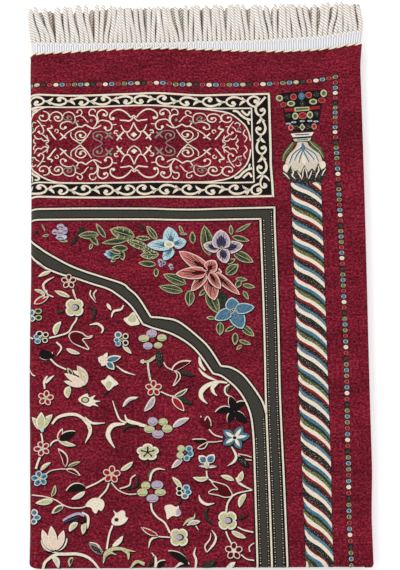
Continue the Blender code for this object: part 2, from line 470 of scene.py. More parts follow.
FRONT_STEP = 5.0
BEND_STEP = 1.1
HAIRPIN_STEP = 0.7
HEM_WIDTH = 8.5
HEM_RISE = 0.5
HEM_SLOPE = 1.5
HEM_LINES = (10.5, 9.6, 9.1, 8.6, 7.8, 7.0, 4.5, 2.0, 0.8, 0.0)  # from the selvedge
GROOVE_DEPTH = 0.45
GROOVE_PAST_HEM = 0.6
PUCKER = 0.16
RIM_STEPS = 4
RIM_BULGE = 0.7  # as a share of half the thickness


def relief(across, along):
    """How far the pile stands above its mean: the doubled hem, its stitched groove and faint puckers."""
    edge = HALF_WIDTH - np.abs(across)
    hem = HEM_RISE * smooth((HEM_WIDTH - edge) / HEM_SLOPE)
    groove = -GROOVE_DEPTH * np.exp(-((edge - HEM_WIDTH - GROOVE_PAST_HEM) ** 2))
    pucker = PUCKER * np.sin(across / 13.0 + 2 * np.sin(along / 61.0)) * np.sin(along / 17.0 + np.sin(across / 43.0))
    lifted = hem + groove + pucker
    on_floor = (across < 0) & (along < HALF_LENGTH)
    return np.where(on_floor, np.minimum(lifted, -PUCKER) - PUCKER, lifted)


def surface(across, along, above=0.0):
    """Points on the pile, or a height above it."""
    return fold(across, along, HALF_THICKNESS + relief(across, along) + above)


def stations(start, stop, step):
    return np.linspace(start, stop, max(int(round((stop - start) / step)), 1) + 1)


def make_cloth():
    """The whole cloth as one closed sheet: its front, its back and rounded rims between them."""
    hem = HALF_WIDTH - np.array(HEM_LINES)
    right = np.concatenate([stations(BEND_REACH + 2, HALF_WIDTH - 12, FRONT_STEP), hem])
    across = np.concatenate([-right[::-1], stations(-BEND_REACH - 1, BEND_REACH + 1, BEND_STEP), right])
    near = stations(0.0, HALF_LENGTH - 9, FRONT_STEP)
    middle = stations(HALF_LENGTH - 7, HALF_LENGTH + 7, HAIRPIN_STEP)
    along = np.concatenate([near, middle, RUG_LENGTH - near[::-1]])
    columns, rows = len(across), len(along)
    turn = np.linspace(0, np.pi, RIM_STEPS + 2)[1:-1]
    heights = HALF_THICKNESS * np.cos(turn)
    bulges = HALF_THICKNESS * RIM_BULGE * np.sin(turn)
    ring_across = np.concatenate([across, HALF_WIDTH + bulges, across[::-1], -HALF_WIDTH - bulges])
    flat = np.full(columns, HALF_THICKNESS)
    ring_out = np.concatenate([flat, heights, -flat, heights[::-1]])
    ring_lift = np.concatenate([np.ones(columns), np.zeros(RIM_STEPS), np.zeros(columns), np.zeros(RIM_STEPS)])
    a, b = np.meshgrid(ring_across, along, indexing="ij")
    out = ring_out[:, None] + ring_lift[:, None] * relief(a, b)
    points = fold(a, b, out).reshape(-1, 3)
    number = np.arange(a.size).reshape(a.shape)
    faces = quads_between(np.vstack([number, number[:1]]))[:, ::-1].tolist()
    for row in (0, rows - 1):
        front = [column * rows + row for column in range(columns)]
        back = [(2 * columns + RIM_STEPS - 1 - column) * rows + row for column in range(columns)]
        right_rim = [(columns + step) * rows + row for step in range(RIM_STEPS)]
        left_rim = [(2 * columns + 2 * RIM_STEPS - 1 - step) * rows + row for step in range(RIM_STEPS)]
        strips = [(front[i], front[i + 1], back[i + 1], back[i]) for i in range(columns - 1)]
        strips.append((front[-1], *right_rim, back[-1]))
        strips.append((back[0], *left_rim[::-1], front[0]))
        faces += [face if row == 0 else face[::-1] for face in strips]
    cloth = np.stack([a.ravel(), b.ravel()], -1)
    return new_piece("cloth", points, faces, chenille(), cloth)


cloth = make_cloth()
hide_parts("rug")


# ---------------------------------------------------------------- figures in the pile


def srgb(red, green, blue):
    return tuple((value / 255) ** 2.2 for value in (red, green, blue))


# Each yarn's colour and how uneven it is, then for some a second colour and the share in which it shows
YARNS = {
    "ivory": (srgb(224, 212, 192), 0.14),
    "pale": (srgb(200, 190, 172), 0.14),
    "ash": (srgb(140, 130, 120), 0.2),
    "charcoal": (srgb(60, 59, 54), 0.14),
    "black": (srgb(26, 21, 22), 0.25),
    "blue": (srgb(74, 114, 136), 0.24, srgb(32, 48, 66), 0.24),
    "ice": (srgb(176, 200, 204), 0.14, srgb(112, 146, 162), 0.18),
    "green": (srgb(74, 84, 56), 0.26, srgb(134, 140, 100), 0.22),
    "moss": (srgb(44, 48, 40), 0.24, srgb(82, 90, 66), 0.18),
    "lime": (srgb(184, 182, 142), 0.16, srgb(122, 122, 86), 0.16),
    "lilac": (srgb(174, 160, 176), 0.18, srgb(132, 118, 140), 0.22),
    "violet": (srgb(72, 66, 90), 0.24, srgb(46, 40, 56), 0.25),
    "pink": (srgb(190, 114, 106), 0.16, srgb(148, 64, 66), 0.24),
    "red": (srgb(142, 34, 42), 0.24),
    "wine": (srgb(80, 13, 25), 0.24),
    "steel": (srgb(92, 118, 138), 0.2, srgb(48, 62, 78), 0.25),
    "olive": (srgb(124, 128, 86), 0.24, srgb(52, 58, 40), 0.45),
    "speckle": (srgb(40, 38, 38), 0.24, srgb(124, 116, 104), 0.24),
    "blush": (srgb(222, 196, 180), 0.14),
}
LOWEST_FIGURE = 0.10
LEVEL_RISE = 0.075
YARN_RISE = 0.0015
SKIRT_FOOT = -0.2
LONGEST_EDGE = 8.0
BEND_EDGE = 1.5
HAIRPIN_EDGE = 1.0
HIDDEN_FROM = -11.5
FOLD_PAST = 563.0
# Which edges of a triangle are halved, as bits, then the triangles that take its place
SPLITS = {
    1: [(0, 3, 2), (3, 1, 2)],
    2: [(0, 1, 4), (0, 4, 2)],
    3: [(3, 1, 4), (0, 3, 4), (0, 4, 2)],
    4: [(0, 1, 5), (5, 1, 2)],
    5: [(5, 0, 3), (3, 1, 2), (3, 2, 5)],
    6: [(4, 2, 5), (0, 1, 4), (0, 4, 5)],
    7: [(0, 3, 5), (3, 1, 4), (5, 4, 2), (3, 4, 5)],
}


def longest_at(places):
    """The longest edge that still follows the cloth at these places."""
    limit = np.where(np.abs(places[..., 0]) < BEND_REACH + 3, BEND_EDGE, LONGEST_EDGE)
    return np.where(np.abs(places[..., 1] - HALF_LENGTH) < 8, HAIRPIN_EDGE, limit)


def refine(points, faces):
    """Halves every edge that is too long for the fold beneath it, until none is."""
    for _ in range(9):
        corners = points[faces]
        nexts = np.roll(corners, -1, axis=1)
        middles = (corners + nexts) / 2
        long = np.linalg.norm((nexts - corners)[..., :2], axis=-1) > longest_at(middles)
        if not long.any():
            break
        ends = np.sort(np.stack([faces, np.roll(faces, -1, axis=1)], -1), axis=-1)
        keys = ends[..., 0] * len(points) + ends[..., 1]
        _, first, inverse = np.unique(keys[long], return_index=True, return_inverse=True)
        number = np.zeros(faces.shape, int)
        number[long] = len(points) + inverse.ravel()
        points = np.vstack([points, middles[long][first]])
        case = long @ np.array([1, 2, 4])
        local = np.hstack([faces, number])
        pieces = [faces[case == 0]]
        for kind, triangles in SPLITS.items():
            chosen = local[case == kind]
            pieces += [chosen[:, list(triangle)] for triangle in triangles]
        faces = np.vstack(pieces)
    return points, faces


def outer_edges(faces):
    """The directed edges that only one face has."""
    edges = np.vstack([faces[:, [0, 1]], faces[:, [1, 2]], faces[:, [2, 0]]])
    keys = np.sort(edges, axis=1)
    _, inverse, counts = np.unique(keys, axis=0, return_inverse=True, return_counts=True)
    return edges[counts[inverse.ravel()] == 1]


def spline(points, step=1.5, closed=False):
    """A Catmull-Rom line through points, with its own points step apart."""
    points = np.asarray(points, float)
    if len(points) == 2:
        count = max(int(np.ceil(np.linalg.norm(points[1] - points[0]) / 6.0)), 1)
        return points[0] + (points[1] - points[0]) * np.linspace(0, 1, count + 1)[:, None]
    if closed:
        padded = np.vstack([points[-1], points, points[0], points[1]])
    else:
        padded = np.vstack([2 * points[0] - points[1], points, 2 * points[-1] - points[-2]])
    t = np.linspace(0, 1, 12, endpoint=False)[:, None]
    rows = []
    for before, start, stop, after in zip(padded, padded[1:], padded[2:], padded[3:]):
        lead, trail = (stop - before) / 2, (after - start) / 2
        bend = 3 * (stop - start) - 2 * lead - trail
        twist = lead + trail - 2 * (stop - start)
        rows.append(start + lead * t + bend * t**2 + twist * t**3)
    rows.append(padded[-2:-1])
    line = np.vstack(rows)
    length = np.concatenate([[0], np.cumsum(np.linalg.norm(np.diff(line, axis=0), axis=1))])
    count = max(int(round(length[-1] / step)), 3)
    at = np.linspace(0, length[-1], count + 1)
    line = np.stack([np.interp(at, length, line[:, axis]) for axis in (0, 1)], -1)
    return line[:-1] if closed else line


def spun(points, centre, turn):
    """Local points, turned by degrees and moved to a place."""
    points = np.asarray(points, float)
    angle = math.radians(turn)
    cosine, sine = math.cos(angle), math.sin(angle)
    x, y = points[..., 0], points[..., 1]
    return np.stack([x * cosine - y * sine + centre[0], x * sine + y * cosine + centre[1]], -1)


def axes(base, tip):
    """A leaf's base and tip, the way from one to the other, its unit and the unit across it."""
    base, tip = np.asarray(base, float), np.asarray(tip, float)
    along = tip - base
    unit = along / np.linalg.norm(along)
    return base, tip, along, unit, np.array([-unit[1], unit[0]])


class Loom:
    """Gathers flat figures by yarn, then makes each yarn's into one piece that stands on the pile."""

    def __init__(self):
        self.figures = {}

    def add(self, yarn, outline, faces, level):
        height = LOWEST_FIGURE + LEVEL_RISE * level + YARN_RISE * list(YARNS).index(yarn)
        outline = np.asarray(outline, float)
        points = np.column_stack([outline, np.full(len(outline), height)])
        self.figures.setdefault(yarn, []).append((points, np.asarray(faces, int)))

    def stroke(self, yarn, spine, width, level, step=1.5):
        """A line of a width, or of widths that are spread evenly along it."""
        line = spline(spine, step)
        along = np.gradient(line, axis=0)
        along = along / np.maximum(np.linalg.norm(along, axis=1, keepdims=True), 1e-9)
        side = np.stack([-along[:, 1], along[:, 0]], -1)
        widths = np.broadcast_to(np.asarray(width, float), max(np.size(width), 2))
        share = np.linspace(0, 1, len(line))
        half = np.interp(share, np.linspace(0, 1, len(widths)), widths)[:, None] / 2
        outline = np.vstack([line + side * half, line - side * half])
        self.add(yarn, outline, band_faces(len(line)), level)

    def petal(self, yarn, base, tip, width, level, bend=0.0, blunt=0.0):
        """A leaf or petal from its base to its tip. bend bows it, and blunt widens its tip."""
        base, tip = np.asarray(base, float), np.asarray(tip, float)
        middle = (base + tip) / 2 + bend * np.array([base[1] - tip[1], tip[0] - base[0]])
        share = np.linspace(0, 1, 9)
        widths = np.sin(np.pi * share ** (1 - 0.35 * blunt)) ** (0.85 - 0.3 * blunt) * width + 0.05
        length = np.linalg.norm(tip - base)
        self.stroke(yarn, [base, middle, tip], widths, level, step=max(length / 8, 0.6))

    def disc(self, yarn, centre, size, level, turn=0.0):
        size = np.broadcast_to(size, 2)
        count = int(np.clip(2 * math.pi * max(size) / 1.1, 7, 40))
        angle = np.linspace(0, 2 * np.pi, count, endpoint=False)
        rim = np.stack([np.cos(angle) * size[0], np.sin(angle) * size[1]], -1)
        outline = spun(np.vstack([rim, [[0.0, 0.0]]]), centre, turn)
        first = np.arange(count)
        self.add(yarn, outline, np.stack([first, (first + 1) % count, np.full(count, count)], -1), level)

    def fill(self, yarn, outline, level, straight=False):
        """A closed shape, rounded through its points unless it is straight."""
        outline = np.asarray(outline, float) if straight else spline(outline, closed=True)
        faces = tessellate_polygon([[Vector((*point, 0.0)) for point in outline]])
        self.add(yarn, outline, faces, level)

    def weave(self, yarn, material):
        points, faces, start = [], [], 0
        for places, triangles in self.figures[yarn]:
            points.append(places)
            faces.append(triangles + start)
            start += len(places)
        points, faces = np.vstack(points), np.vstack(faces)
        first, second, third = (points[faces[:, corner], :2] for corner in range(3))
        to_second, to_third = second - first, third - first
        area = to_second[:, 0] * to_third[:, 1] - to_second[:, 1] * to_third[:, 0]
        faces = np.where((area > 0)[:, None], faces[:, ::-1], faces)[np.abs(area) > 1e-4]
        points, faces = refine(points, faces)
        centre = points[faces].mean(axis=1)
        faces = faces[(centre[:, 0] > HIDDEN_FROM) & (centre[:, 1] < FOLD_PAST)]
        edges = outer_edges(faces)
        rims = edges.ravel()
        heads, feet = points[rims], points[rims].copy()
        feet[:, 2] = SKIRT_FOOT
        number = len(points) + np.arange(len(rims)).reshape(-1, 2)
        under = number + len(rims)
        (start, stop), (start_foot, stop_foot) = number.T, under.T
        upper, lower = np.stack([stop, start, start_foot], -1), np.stack([stop, start_foot, stop_foot], -1)
        skirts = np.vstack([upper, lower])
        points, faces = np.vstack([points, heads, feet]), np.vstack([faces, skirts])
        used, faces = np.unique(faces, return_inverse=True)
        points, faces = points[used], faces.reshape(-1, 3)
        piece = new_piece("figure_" + yarn, surface(*points.T), faces, material, points[:, :2])


loom = Loom()

# ---------------------------------------------------------------- beads, borders and the arch

# Where beads of the row and of the column lie: number, across and along. Those between are spread evenly
ROW_WHITES = (
    (-5, -21.5, 35.0), (3, 30.0, 36.6), (11, 81.6, 38.2), (19, 135.3, 37.7), (20.5, 145.5, 37.9), (22, 155.6, 39.6),
    (27, 190.8, 39.8), (35, 247.5, 38.6), (43, 303.5, 35.6), (46, 324.0, 33.1),
)
COLUMN_WHITES = (
    (-1, 323.8, 39.4), (1, 323.4, 51.0), (9, 321.6, 94.7), (17, 323.0, 140.9), (25, 323.7, 185.8), (33, 324.0, 232.3),
    (41, 324.5, 279.2), (49, 324.8, 326.8), (57, 324.1, 374.8), (65, 322.8, 423.0), (73, 322.8, 471.0),
    (81, 323.4, 519.0), (89, 324.0, 567.0),
)
# The yarns of each bead's tips and heart
BEADS = {
    "blue": ("ice", "blue"),
    "white": ("ivory", "pale"),
    "red": ("pink", "red"),
    "black": ("speckle", "charcoal"),
    "green": ("lime", "olive"),
    "lime": ("lime", "pale"),
}
HEARTS = {"white": (0.3, 0.4), "lime": (0.4, 0.4)}  # their size, as a share of the bead's
ROW_BEADS = ("lime", "black", "red", "white", "blue", "red", "green", "blue")
COLUMN_BEADS = ("blue", "white", "red", "black", "green", "blue", "green", "red")
FIRST_PITCH = 6.0  # of the beads
FOLD_START = HIDDEN_FROM - 1.5
PATTERN_END = FOLD_PAST + 1.5


def edged_disc(yarn, centre, size, level, shift, margin, turn=0.0):
    """A disc on a dark one that is moved by shift and wider by margin."""
    loom.disc("black", np.add(centre, shift), np.add(size, margin), level - 1, turn)
    loom.disc(yarn, centre, size, level, turn)


def bead(kind, centre, size):
    """An oval bead with a paler tip at each side and a dark edge."""
    tip, heart = BEADS[kind]
    edged_disc(tip, centre, size, 2, (-0.2, -0.3), 0.65)
    loom.disc(heart, centre, np.multiply(size, HEARTS.get(kind, (0.76, 0.9))), 3)


def weave_beads():
    """The row of beads along the fringed end and the column of them beside the selvedge."""
    for whites, beads, lowest, spread in (
        (ROW_WHITES, ROW_BEADS, -3, (0.41, 0.31)),
        (COLUMN_WHITES, COLUMN_BEADS, -1, (0.46, 0.37)),
    ):
        numbers, across, along = np.transpose(whites)
        for number in range(lowest, int(numbers[-1]) + 1):
            centre = [float(np.interp(number, numbers, values)) for values in (across, along)]
            before = [float(np.interp(number - 0.5, numbers, values)) for values in (across, along)]
            pitch = 2 * math.dist(centre, before) if number > numbers[0] else FIRST_PITCH
            bead(beads[number % 8], centre, np.multiply(spread, pitch))


def ivory_line(spine, width=1.8, shade=2.9):
    """A cream line between dark edges."""
    loom.stroke("black", spine, width + shade, 1)
    loom.stroke("ivory", spine, width, 3)


def dashes(spine, pitch, size):
    """A dark line with stitches along it, pale and grey by turns."""
    line = spline(spine, pitch)
    loom.stroke("black", spine, size + 1.4, 1)
    for number, (start, stop) in enumerate(zip(line, line[1:])):
        middle, reach = (start + stop) / 2, (stop - start) * 0.22
        loom.stroke(("pale", "ash")[number % 2], [middle - reach, middle + reach], size, 4)


# The lobes of the arch's outer and inner edge
ARCH_OUTER = (
    [
        (-16, 190), (-10, 197.5), (2.5, 208), (14.5, 219), (26.5, 227), (42, 236), (58, 243), (78, 250), (97.5, 257),
        (104, 262.5), (113.5, 271.8), (126.5, 293),
    ],
    [(126.5, 292.9), (138.8, 294.1), (155, 298.5), (176.2, 316.2), (186.2, 327.4), (197, 345.3)],
    [(197, 345.3), (208.1, 347.5), (221.1, 357), (236.7, 380.1), (241.8, 396)],
)
ARCH_INNER = (
    [
        (-16, 204), (-9, 212.5), (3, 224.5), (9.5, 231.5), (18.5, 239), (34, 246), (50, 250.8), (65.5, 256.5),
        (81, 261.8), (90, 267), (106, 281), (118.3, 300.5),
    ],
    [(118.3, 300.5), (128.5, 304.6), (147.8, 311.1), (164.9, 321.9), (175.9, 333.6), (188.8, 353.1)],
    [
        (188.8, 353.1), (198.8, 356.8), (213.7, 370.5), (223.8, 389.3), (227.7, 413.1), (228.4, 460),
        (228.7, PATTERN_END),
    ],
)
ARCH_FOOT = [(241.6, 410), (242.4, 470), (243.0, PATTERN_END)]
ARCH_DASHES = ([(238.8, 400), (239.4, 470), (240.1, PATTERN_END)], [(230.9, 420), (231.4, 470), (231.8, PATTERN_END)])
# The frame's charcoal bands, then the cream lines outside and inside them, each across the rug and along it
FRAME_ACROSS = [(FOLD_START, 180.9), (60, 181.3), (120, 182.1), (175, 183.4), (221, 182.9), (254.6, 182.6)]
FRAME_ALONG = [(248.3, 178.4), (248.9, 260), (248.8, 385), (249.9, 470), (250.9, PATTERN_END)]
OUTSIDE_ACROSS = [
    (FOLD_START, 175.0), (60, 175.2), (122, 176.2), (148, 177.3), (175, 177.8), (201, 177.2), (256.5, 176.4),
]
OUTSIDE_ALONG = [
    (255.8, 175.4), (255.6, 200), (256.2, 260), (256.3, 320), (256.0, 380), (257.4, 470), (258.6, PATTERN_END),
]
INSIDE_ACROSS = [
    (FOLD_START, 188.6), (2, 186.8), (60, 187.0), (122, 187.8), (148, 188.7), (175, 189.1), (241.6, 188.8),
]
INSIDE_ALONG = [
    (240.9, 188.0), (241.0, 205), (241.7, 270), (241.9, 330), (241.6, 385), (242.4, 460), (243.1, PATTERN_END),
]
DASH_PITCH = 2.4


def weave_frame():
    """The charcoal frame between cream lines, and the lobed arch that springs from it."""
    loom.stroke("charcoal", FRAME_ACROSS, 8.6, 0)
    loom.stroke("charcoal", FRAME_ALONG, 13.4, 0)
    ivory_line(OUTSIDE_ACROSS)
    ivory_line(OUTSIDE_ALONG)
    ivory_line(INSIDE_ACROSS, 1.7, 2.6)
    ivory_line(INSIDE_ALONG)
    for shift in ((4.1, 2.0), (-4.1, 11.0)):
        dashes(np.add(FRAME_ALONG, shift), DASH_PITCH, 0.9)
    outer = np.vstack([spline(part) for part in ARCH_OUTER])
    inner = np.vstack([spline(part) for part in ARCH_INNER])
    loom.fill("charcoal", np.vstack([outer, spline(ARCH_FOOT), inner[::-1]]), 0, straight=True)
    for part in ARCH_OUTER + ARCH_INNER:
        ivory_line(part)
    for line in ARCH_DASHES:
        dashes(line, DASH_PITCH, 0.8)


# ---------------------------------------------------------------- the scroll panel

PANEL_MIDDLE = (110.8, 106.2)
# Where the panel's long lines lie, down from its middle: the highest, the one inside it, and the same below
PANEL_TOP = -56.8
PANEL_INNER_TOP = -41.9
PANEL_INNER_LOW = 41.7
PANEL_LOW = 57.8
PANEL_BORDER = 14.9  # from the highest line to the one inside it
PANEL_LINE = [FOLD_START - PANEL_MIDDLE[0], -102, -60, -6, 25, 67, 100]  # places across along a long line
PANEL_SIDE = 254.4
PANEL_RIGHT = PANEL_SIDE - PANEL_MIDDLE[0] - 1.0
PANEL_INNER_RIGHT = 123.9
PANEL_EDGE = [
    (PANEL_RIGHT, PANEL_TOP - 1), (PANEL_RIGHT + 0.1, 0), (PANEL_RIGHT - 0.1, 22), (PANEL_RIGHT + 0.8, 42),
    (PANEL_RIGHT + 1.3, PANEL_LOW + 1),
]
# How the wandering of the lines passes from one to the next: from where down and over what length
LOWER_EASE_START = 34
LOWER_EASE = 16
UPPER_EASE = 8
SCROLL_UNIT = 23.5  # the length that one unit of the scroll is drawn in
SCROLL_LENGTH = 23.6
SIDE_SCROLL_INSET = 9.5
SIDE_SCROLL_START = -51.0
SIDE_SCROLL_PITCH = 21.5
SIDE_SCROLL_LENGTH = 21.4
SCROLL_WIDTHS = [2.1, 1.7, 2.1, 2.4, 2.4, 2.1, 2.0, 2.0, 1.9]
# Side, along, hand of the first unit, then how far the forks lie from the panel's middle
SCROLL_ROWS = (
    (-1, -49.2, 1, (20.7, 44.1, 67.3, 90.1, 113.5)), (1, -49.2, 1, (20.6, 45, 68.8, 93, 117.5)),
    (-1, 49.7, -1, (19.9, 42.2, 65.6, 89.2, 111.3)), (1, 49.7, -1, (22.6, 46.1, 69.7, 93.9, 118.4)),
)
SCROLL_STEM = [
    (-1.5, 0.2), (2.5, 1.8), (8, 4.3), (14.2, 4.6), (19.2, 1.8), (19.3, -2), (15.4, -4.6), (11.6, -4.2), (10.4, -1.8),
]
CARTOUCHE = [
    (30, 41.8), (52, 41.5), (75, 40.8), (88.2, 38.9), (97, 37), (103.8, 33.9), (110.5, 28.5), (117.1, 21.5),
    (120.6, 13), (121.9, 4.8),
]
LEFT_CORNERS = {
    -1: [(60, 63.2), (36, 62.4), (21.5, 61.8), (16, 62.7), (11, 65.1), (7.5, 67.8), (4.5, 70.6), (0, 76), (-8, 87)],
    1: [
        (60, 147.3), (36, 146.6), (28, 145.4), (22.5, 143.6), (18, 141.5), (13.5, 138.9), (9.5, 135.1), (5.5, 130.8),
        (0, 122), (-8, 110),
    ],
}
# Spine and widths of the forks in the cartouche's two right corners, drawn in the upper one
CORNER_FORKS = (
    ([(215.1, 68.8), (219.8, 69.9), (223.8, 74.2), (228.8, 77.8), (233.6, 79.2)], 2.4),
    ([(224.2, 68.6), (227.1, 71.7), (230.4, 73.8), (233.2, 69.5)], 2.2), ([(230.3, 79.9), (231.8, 84.2)], 1.8),
)
# Those of the rings and leaves that turn the scroll round the panel's right corners, and of the left corners' curls
CORNER_SCROLLS = (
    ([
        (249.7, 53.3), (244.2, 59.8), (238.7, 64.3), (232.7, 61.6), (230.9, 57.2), (233.9, 53.8), (238.6, 52.7),
        (242.6, 55.4), (241.5, 58.7),
    ], 2.2),
    ([
        (245.5, 141.5), (242.8, 145.5), (241.8, 150), (243, 153.6), (245.2, 154.8), (248, 153.4), (247.2, 150.8),
        (245, 150.6),
    ], 1.9),
    ([
        (241.8, 150), (235.5, 152.4), (232.4, 155.8), (233.2, 160), (236.6, 162), (241, 160.6), (242.6, 157.8),
        (240.6, 155.4), (238.2, 156.6),
    ], 2.0),
    ([(245.3, 140.5), (241.4, 142), (238.2, 144.6)], (2, 2.3, 0.8)),
    ([(246, 141.5), (249.5, 144.4), (251.6, 147.6)], (2, 2.1, 0.8)),
    ([(233.5, 156.4), (229.5, 157), (225.5, 155.4), (223.2, 152.4)], (1.8, 2, 2.3, 0.8)),
    ([(230, 157), (228.6, 159.6), (227.5, 162.4)], (1.8, 2.3, 0.8)),
    ([(4.5, 63.6), (8.5, 62.3), (14, 61.6)], 1.4),
    ([(4.6, 69.6), (6.2, 65.8), (9.5, 64.2), (10.9, 65.4), (9, 67.2)], 1.6),
    ([(3.6, 132.5), (6.5, 136), (10.5, 139.2), (12.2, 141.2), (10.6, 143), (8, 142)], 2.0),
    ([(3.6, 137), (5.2, 140), (4.8, 143.4)], 1.6),
)
CORNER_BUDS = (((239.2, 58.3), 2.3), ((246.2, 152), 1.6), ((239.4, 157.4), 1.9), ((10, 64.6), 1.1))
CORNER_PIT = (9.6, 141.1)  # the dark middle of the lower left curl
ARABESQUE_MIDDLE = (110.8, 104.6)
ARABESQUE_LOWER = 1.045
FAR_STRETCH = 0.042
FAR_PRESS = 0.11
NEAR_PRESS = (0.12, 0.05)  # of the lower half and the upper one
DIAMOND = np.array([(3.4, 0), (0, 2.9), (-3.4, 0), (0, -2.9)])  # at the filigree's middle, above and below
DIAMOND_DOWN = 9.1
# Widths, negative in ash, and spines of the filigree's quarter
ARABESQUE = (
    (1.2, [(94.5, 38), (90.5, 37), (88.5, 33.5), (89.5, 29), (93, 27), (97, 28), (98.5, 31), (97.5, 33.5), (95, 33)]),
    (1.1, [(89, 36.5), (87.5, 32.5), (88.5, 29), (86, 27)]),
    (1.3, [
        (87.5, 33.5), (84.5, 36.5), (80.5, 37.5), (76.5, 36), (74.5, 32.5), (75.5, 28.5), (79, 27), (82, 28.5),
        (83, 31.5), (80.5, 33), (79, 31.5),
    ]),
    (1.1, [(74, 33), (72, 36), (67.5, 37), (63.5, 35), (61.5, 31.5), (61.5, 26.5), (64, 23.5)]),
    (-1.0, [(74, 32.5), (72.5, 29), (68.5, 28), (65, 28.5), (65.5, 31), (68, 33), (70, 32), (69.5, 30)]),
    (1.0, [(61.5, 31), (58, 32), (55, 33), (54, 35.5), (55.5, 38), (58.5, 37.5), (59, 36)]),
    (1.1, [(55.5, 32), (52, 29.5), (50, 26.5), (47.5, 24)]), (-2.0, [(65, 24), (61.5, 25), (57.5, 26.5)]),
    (1.2, [(60.5, 25), (59, 22.5), (58, 20)]),
    (1.4, [
        (71.5, 11.5), (68, 14.5), (63.5, 17), (58.5, 20), (54.5, 19.5), (50.5, 21.5), (47.5, 19.5), (42.5, 17),
        (38.5, 18), (34, 20.5),
    ]),
    (1.2, [(65, 25.5), (70, 26.5), (74.5, 25), (76.5, 22.5), (76.5, 19), (73.5, 17.5), (71.5, 19)]),
    (1.1, [(65.5, 14), (66, 10.5), (64.5, 7), (60.5, 4), (56, 0.5)]),
    (1.2, [(56, 0.5), (52, 4.5), (49, 8), (46.5, 12)]),
    (1.2, [
        (50.5, 7), (54, 4.5), (58.5, 5), (61, 9), (60.5, 12.5), (57, 14.5), (53, 14), (50, 10.5), (52.5, 7.5),
        (56, 8), (56, 10.5),
    ]),
    (-1.1, [(29.5, 12.5), (34, 13.5), (38.5, 13.5), (42.5, 11), (42, 6.5), (38.5, 4), (35, 2), (33, 0)]),
    (-1.1, [(34.5, 3.5), (33, 7), (35, 10), (38.5, 10), (38.5, 7.5)]), (-2.0, [(30, 13), (26.5, 9.5), (22, 5)]),
    (-1.8, [(30, 5.5), (26.5, 9.5), (23.5, 12)]),
    (1.3, [
        (40, 35), (40.5, 37), (44, 38), (46.5, 35.5), (46, 32), (42, 31.5), (39, 28.5), (38.5, 24), (40, 20.5),
        (42.5, 17.5),
    ]),
    (1.4, [
        (37.5, 22.5), (37.5, 28.5), (38.5, 32), (36.5, 35.5), (32.5, 37), (28.5, 35), (27.5, 32.5), (29.5, 30.5),
        (31, 32),
    ]),
    (1.4, [
        (37.5, 24), (34, 26), (29.5, 25.5), (25.5, 24), (23, 20.5), (23.5, 16.5), (26, 14.5), (29, 15), (30, 17.5),
    ]),
    (1.1, [(22.5, 20.5), (18, 21)]),
    (1.6, [
        (0, 30.5), (3, 28.5), (5.5, 31.5), (10, 35), (14.5, 36.5), (19.5, 36), (24, 33), (25, 29.5), (23.5, 26.5),
        (21, 27.5),
    ]),
    (1.5, [(0, 28.5), (4, 24.5), (9, 25), (14.5, 25.5)]),
    (1.4, [(13.5, 20), (12, 16.5), (9.5, 13), (5.5, 12.5), (2.5, 16.5), (0, 22.5)]),
    (1.3, [(17.5, 11), (20.5, 11), (19.5, 14), (16.5, 13.5)]), (2.0, [(18, 3), (15, 7.5), (10.5, 12.5)]),
    (1.6, [(18, 9.5), (12.5, 4.5)]), (1.2, [(0, 3), (3.5, 5), (6.5, 8.5), (7.5, 12.5)]),
    (1.2, [(100.5, 28), (97.5, 23.5), (94.5, 17.5), (94.5, 13.5), (97.5, 11.5), (99, 14.5)]),
    (1.0, [(96.5, 21.5), (92.5, 21.5)]),
    (1.7, [(86.5, 22), (85, 19.5), (87.5, 18.5), (90.5, 17.5), (88, 15), (85, 10), (81.5, 5.5)]),
    (1.1, [(82.5, 14.5), (82, 17), (79.5, 17), (79, 14.5), (81, 13)]), (1.7, [(77, 13), (73.5, 9), (70.5, 7)]),
    (1.5, [(77.5, 5), (73.5, 8.5), (71, 12)]), (1.2, [(103.5, 11), (102, 7.5), (99.5, 5.5), (96.5, 6.5)]),
    (1.2, [(103.5, 6.5), (104.5, 4), (102, 0.5)]), (1.2, [(95.5, 11), (91.5, 7.5), (89, 3.5), (92, 0.5)]),
    (1.1, [(106, 22), (107, 24.5), (104, 26.5), (101.5, 25)]),
    (1.1, [(98.5, 21.5), (101.5, 19), (103, 16), (108, 14.5)]),
    (1.2, [(112, 18), (110, 12.5), (113.5, 7.5), (111, 2)]), (1.2, [(46.5, 12), (44.5, 15)]),
    (-1.1, [(107.5, 17.5), (107.5, 19.5), (106, 20), (104.5, 18.5), (105, 16), (107, 16)]),
    (1.1, [(91, 10.5), (90, 5), (94, 3.5), (97, 7)]),
)
# Yarn, place and radius
ARABESQUE_BUDS = (
    ("ivory", (95, 33), 1.3), ("ivory", (79, 31.5), 1.5), ("ivory", (59, 36), 1.1), ("ivory", (71.5, 19.5), 1.5),
    ("ivory", (56, 10), 1.6), ("ash", (38.5, 8.5), 1.5), ("ivory", (31, 32), 1.6), ("ivory", (30, 17.5), 1.6),
    ("ivory", (21.5, 27.5), 1.7), ("ash", (44.5, 26), 1.6), ("ivory", (99, 14), 1.3), ("ash", (69, 30.5), 1.2),
)
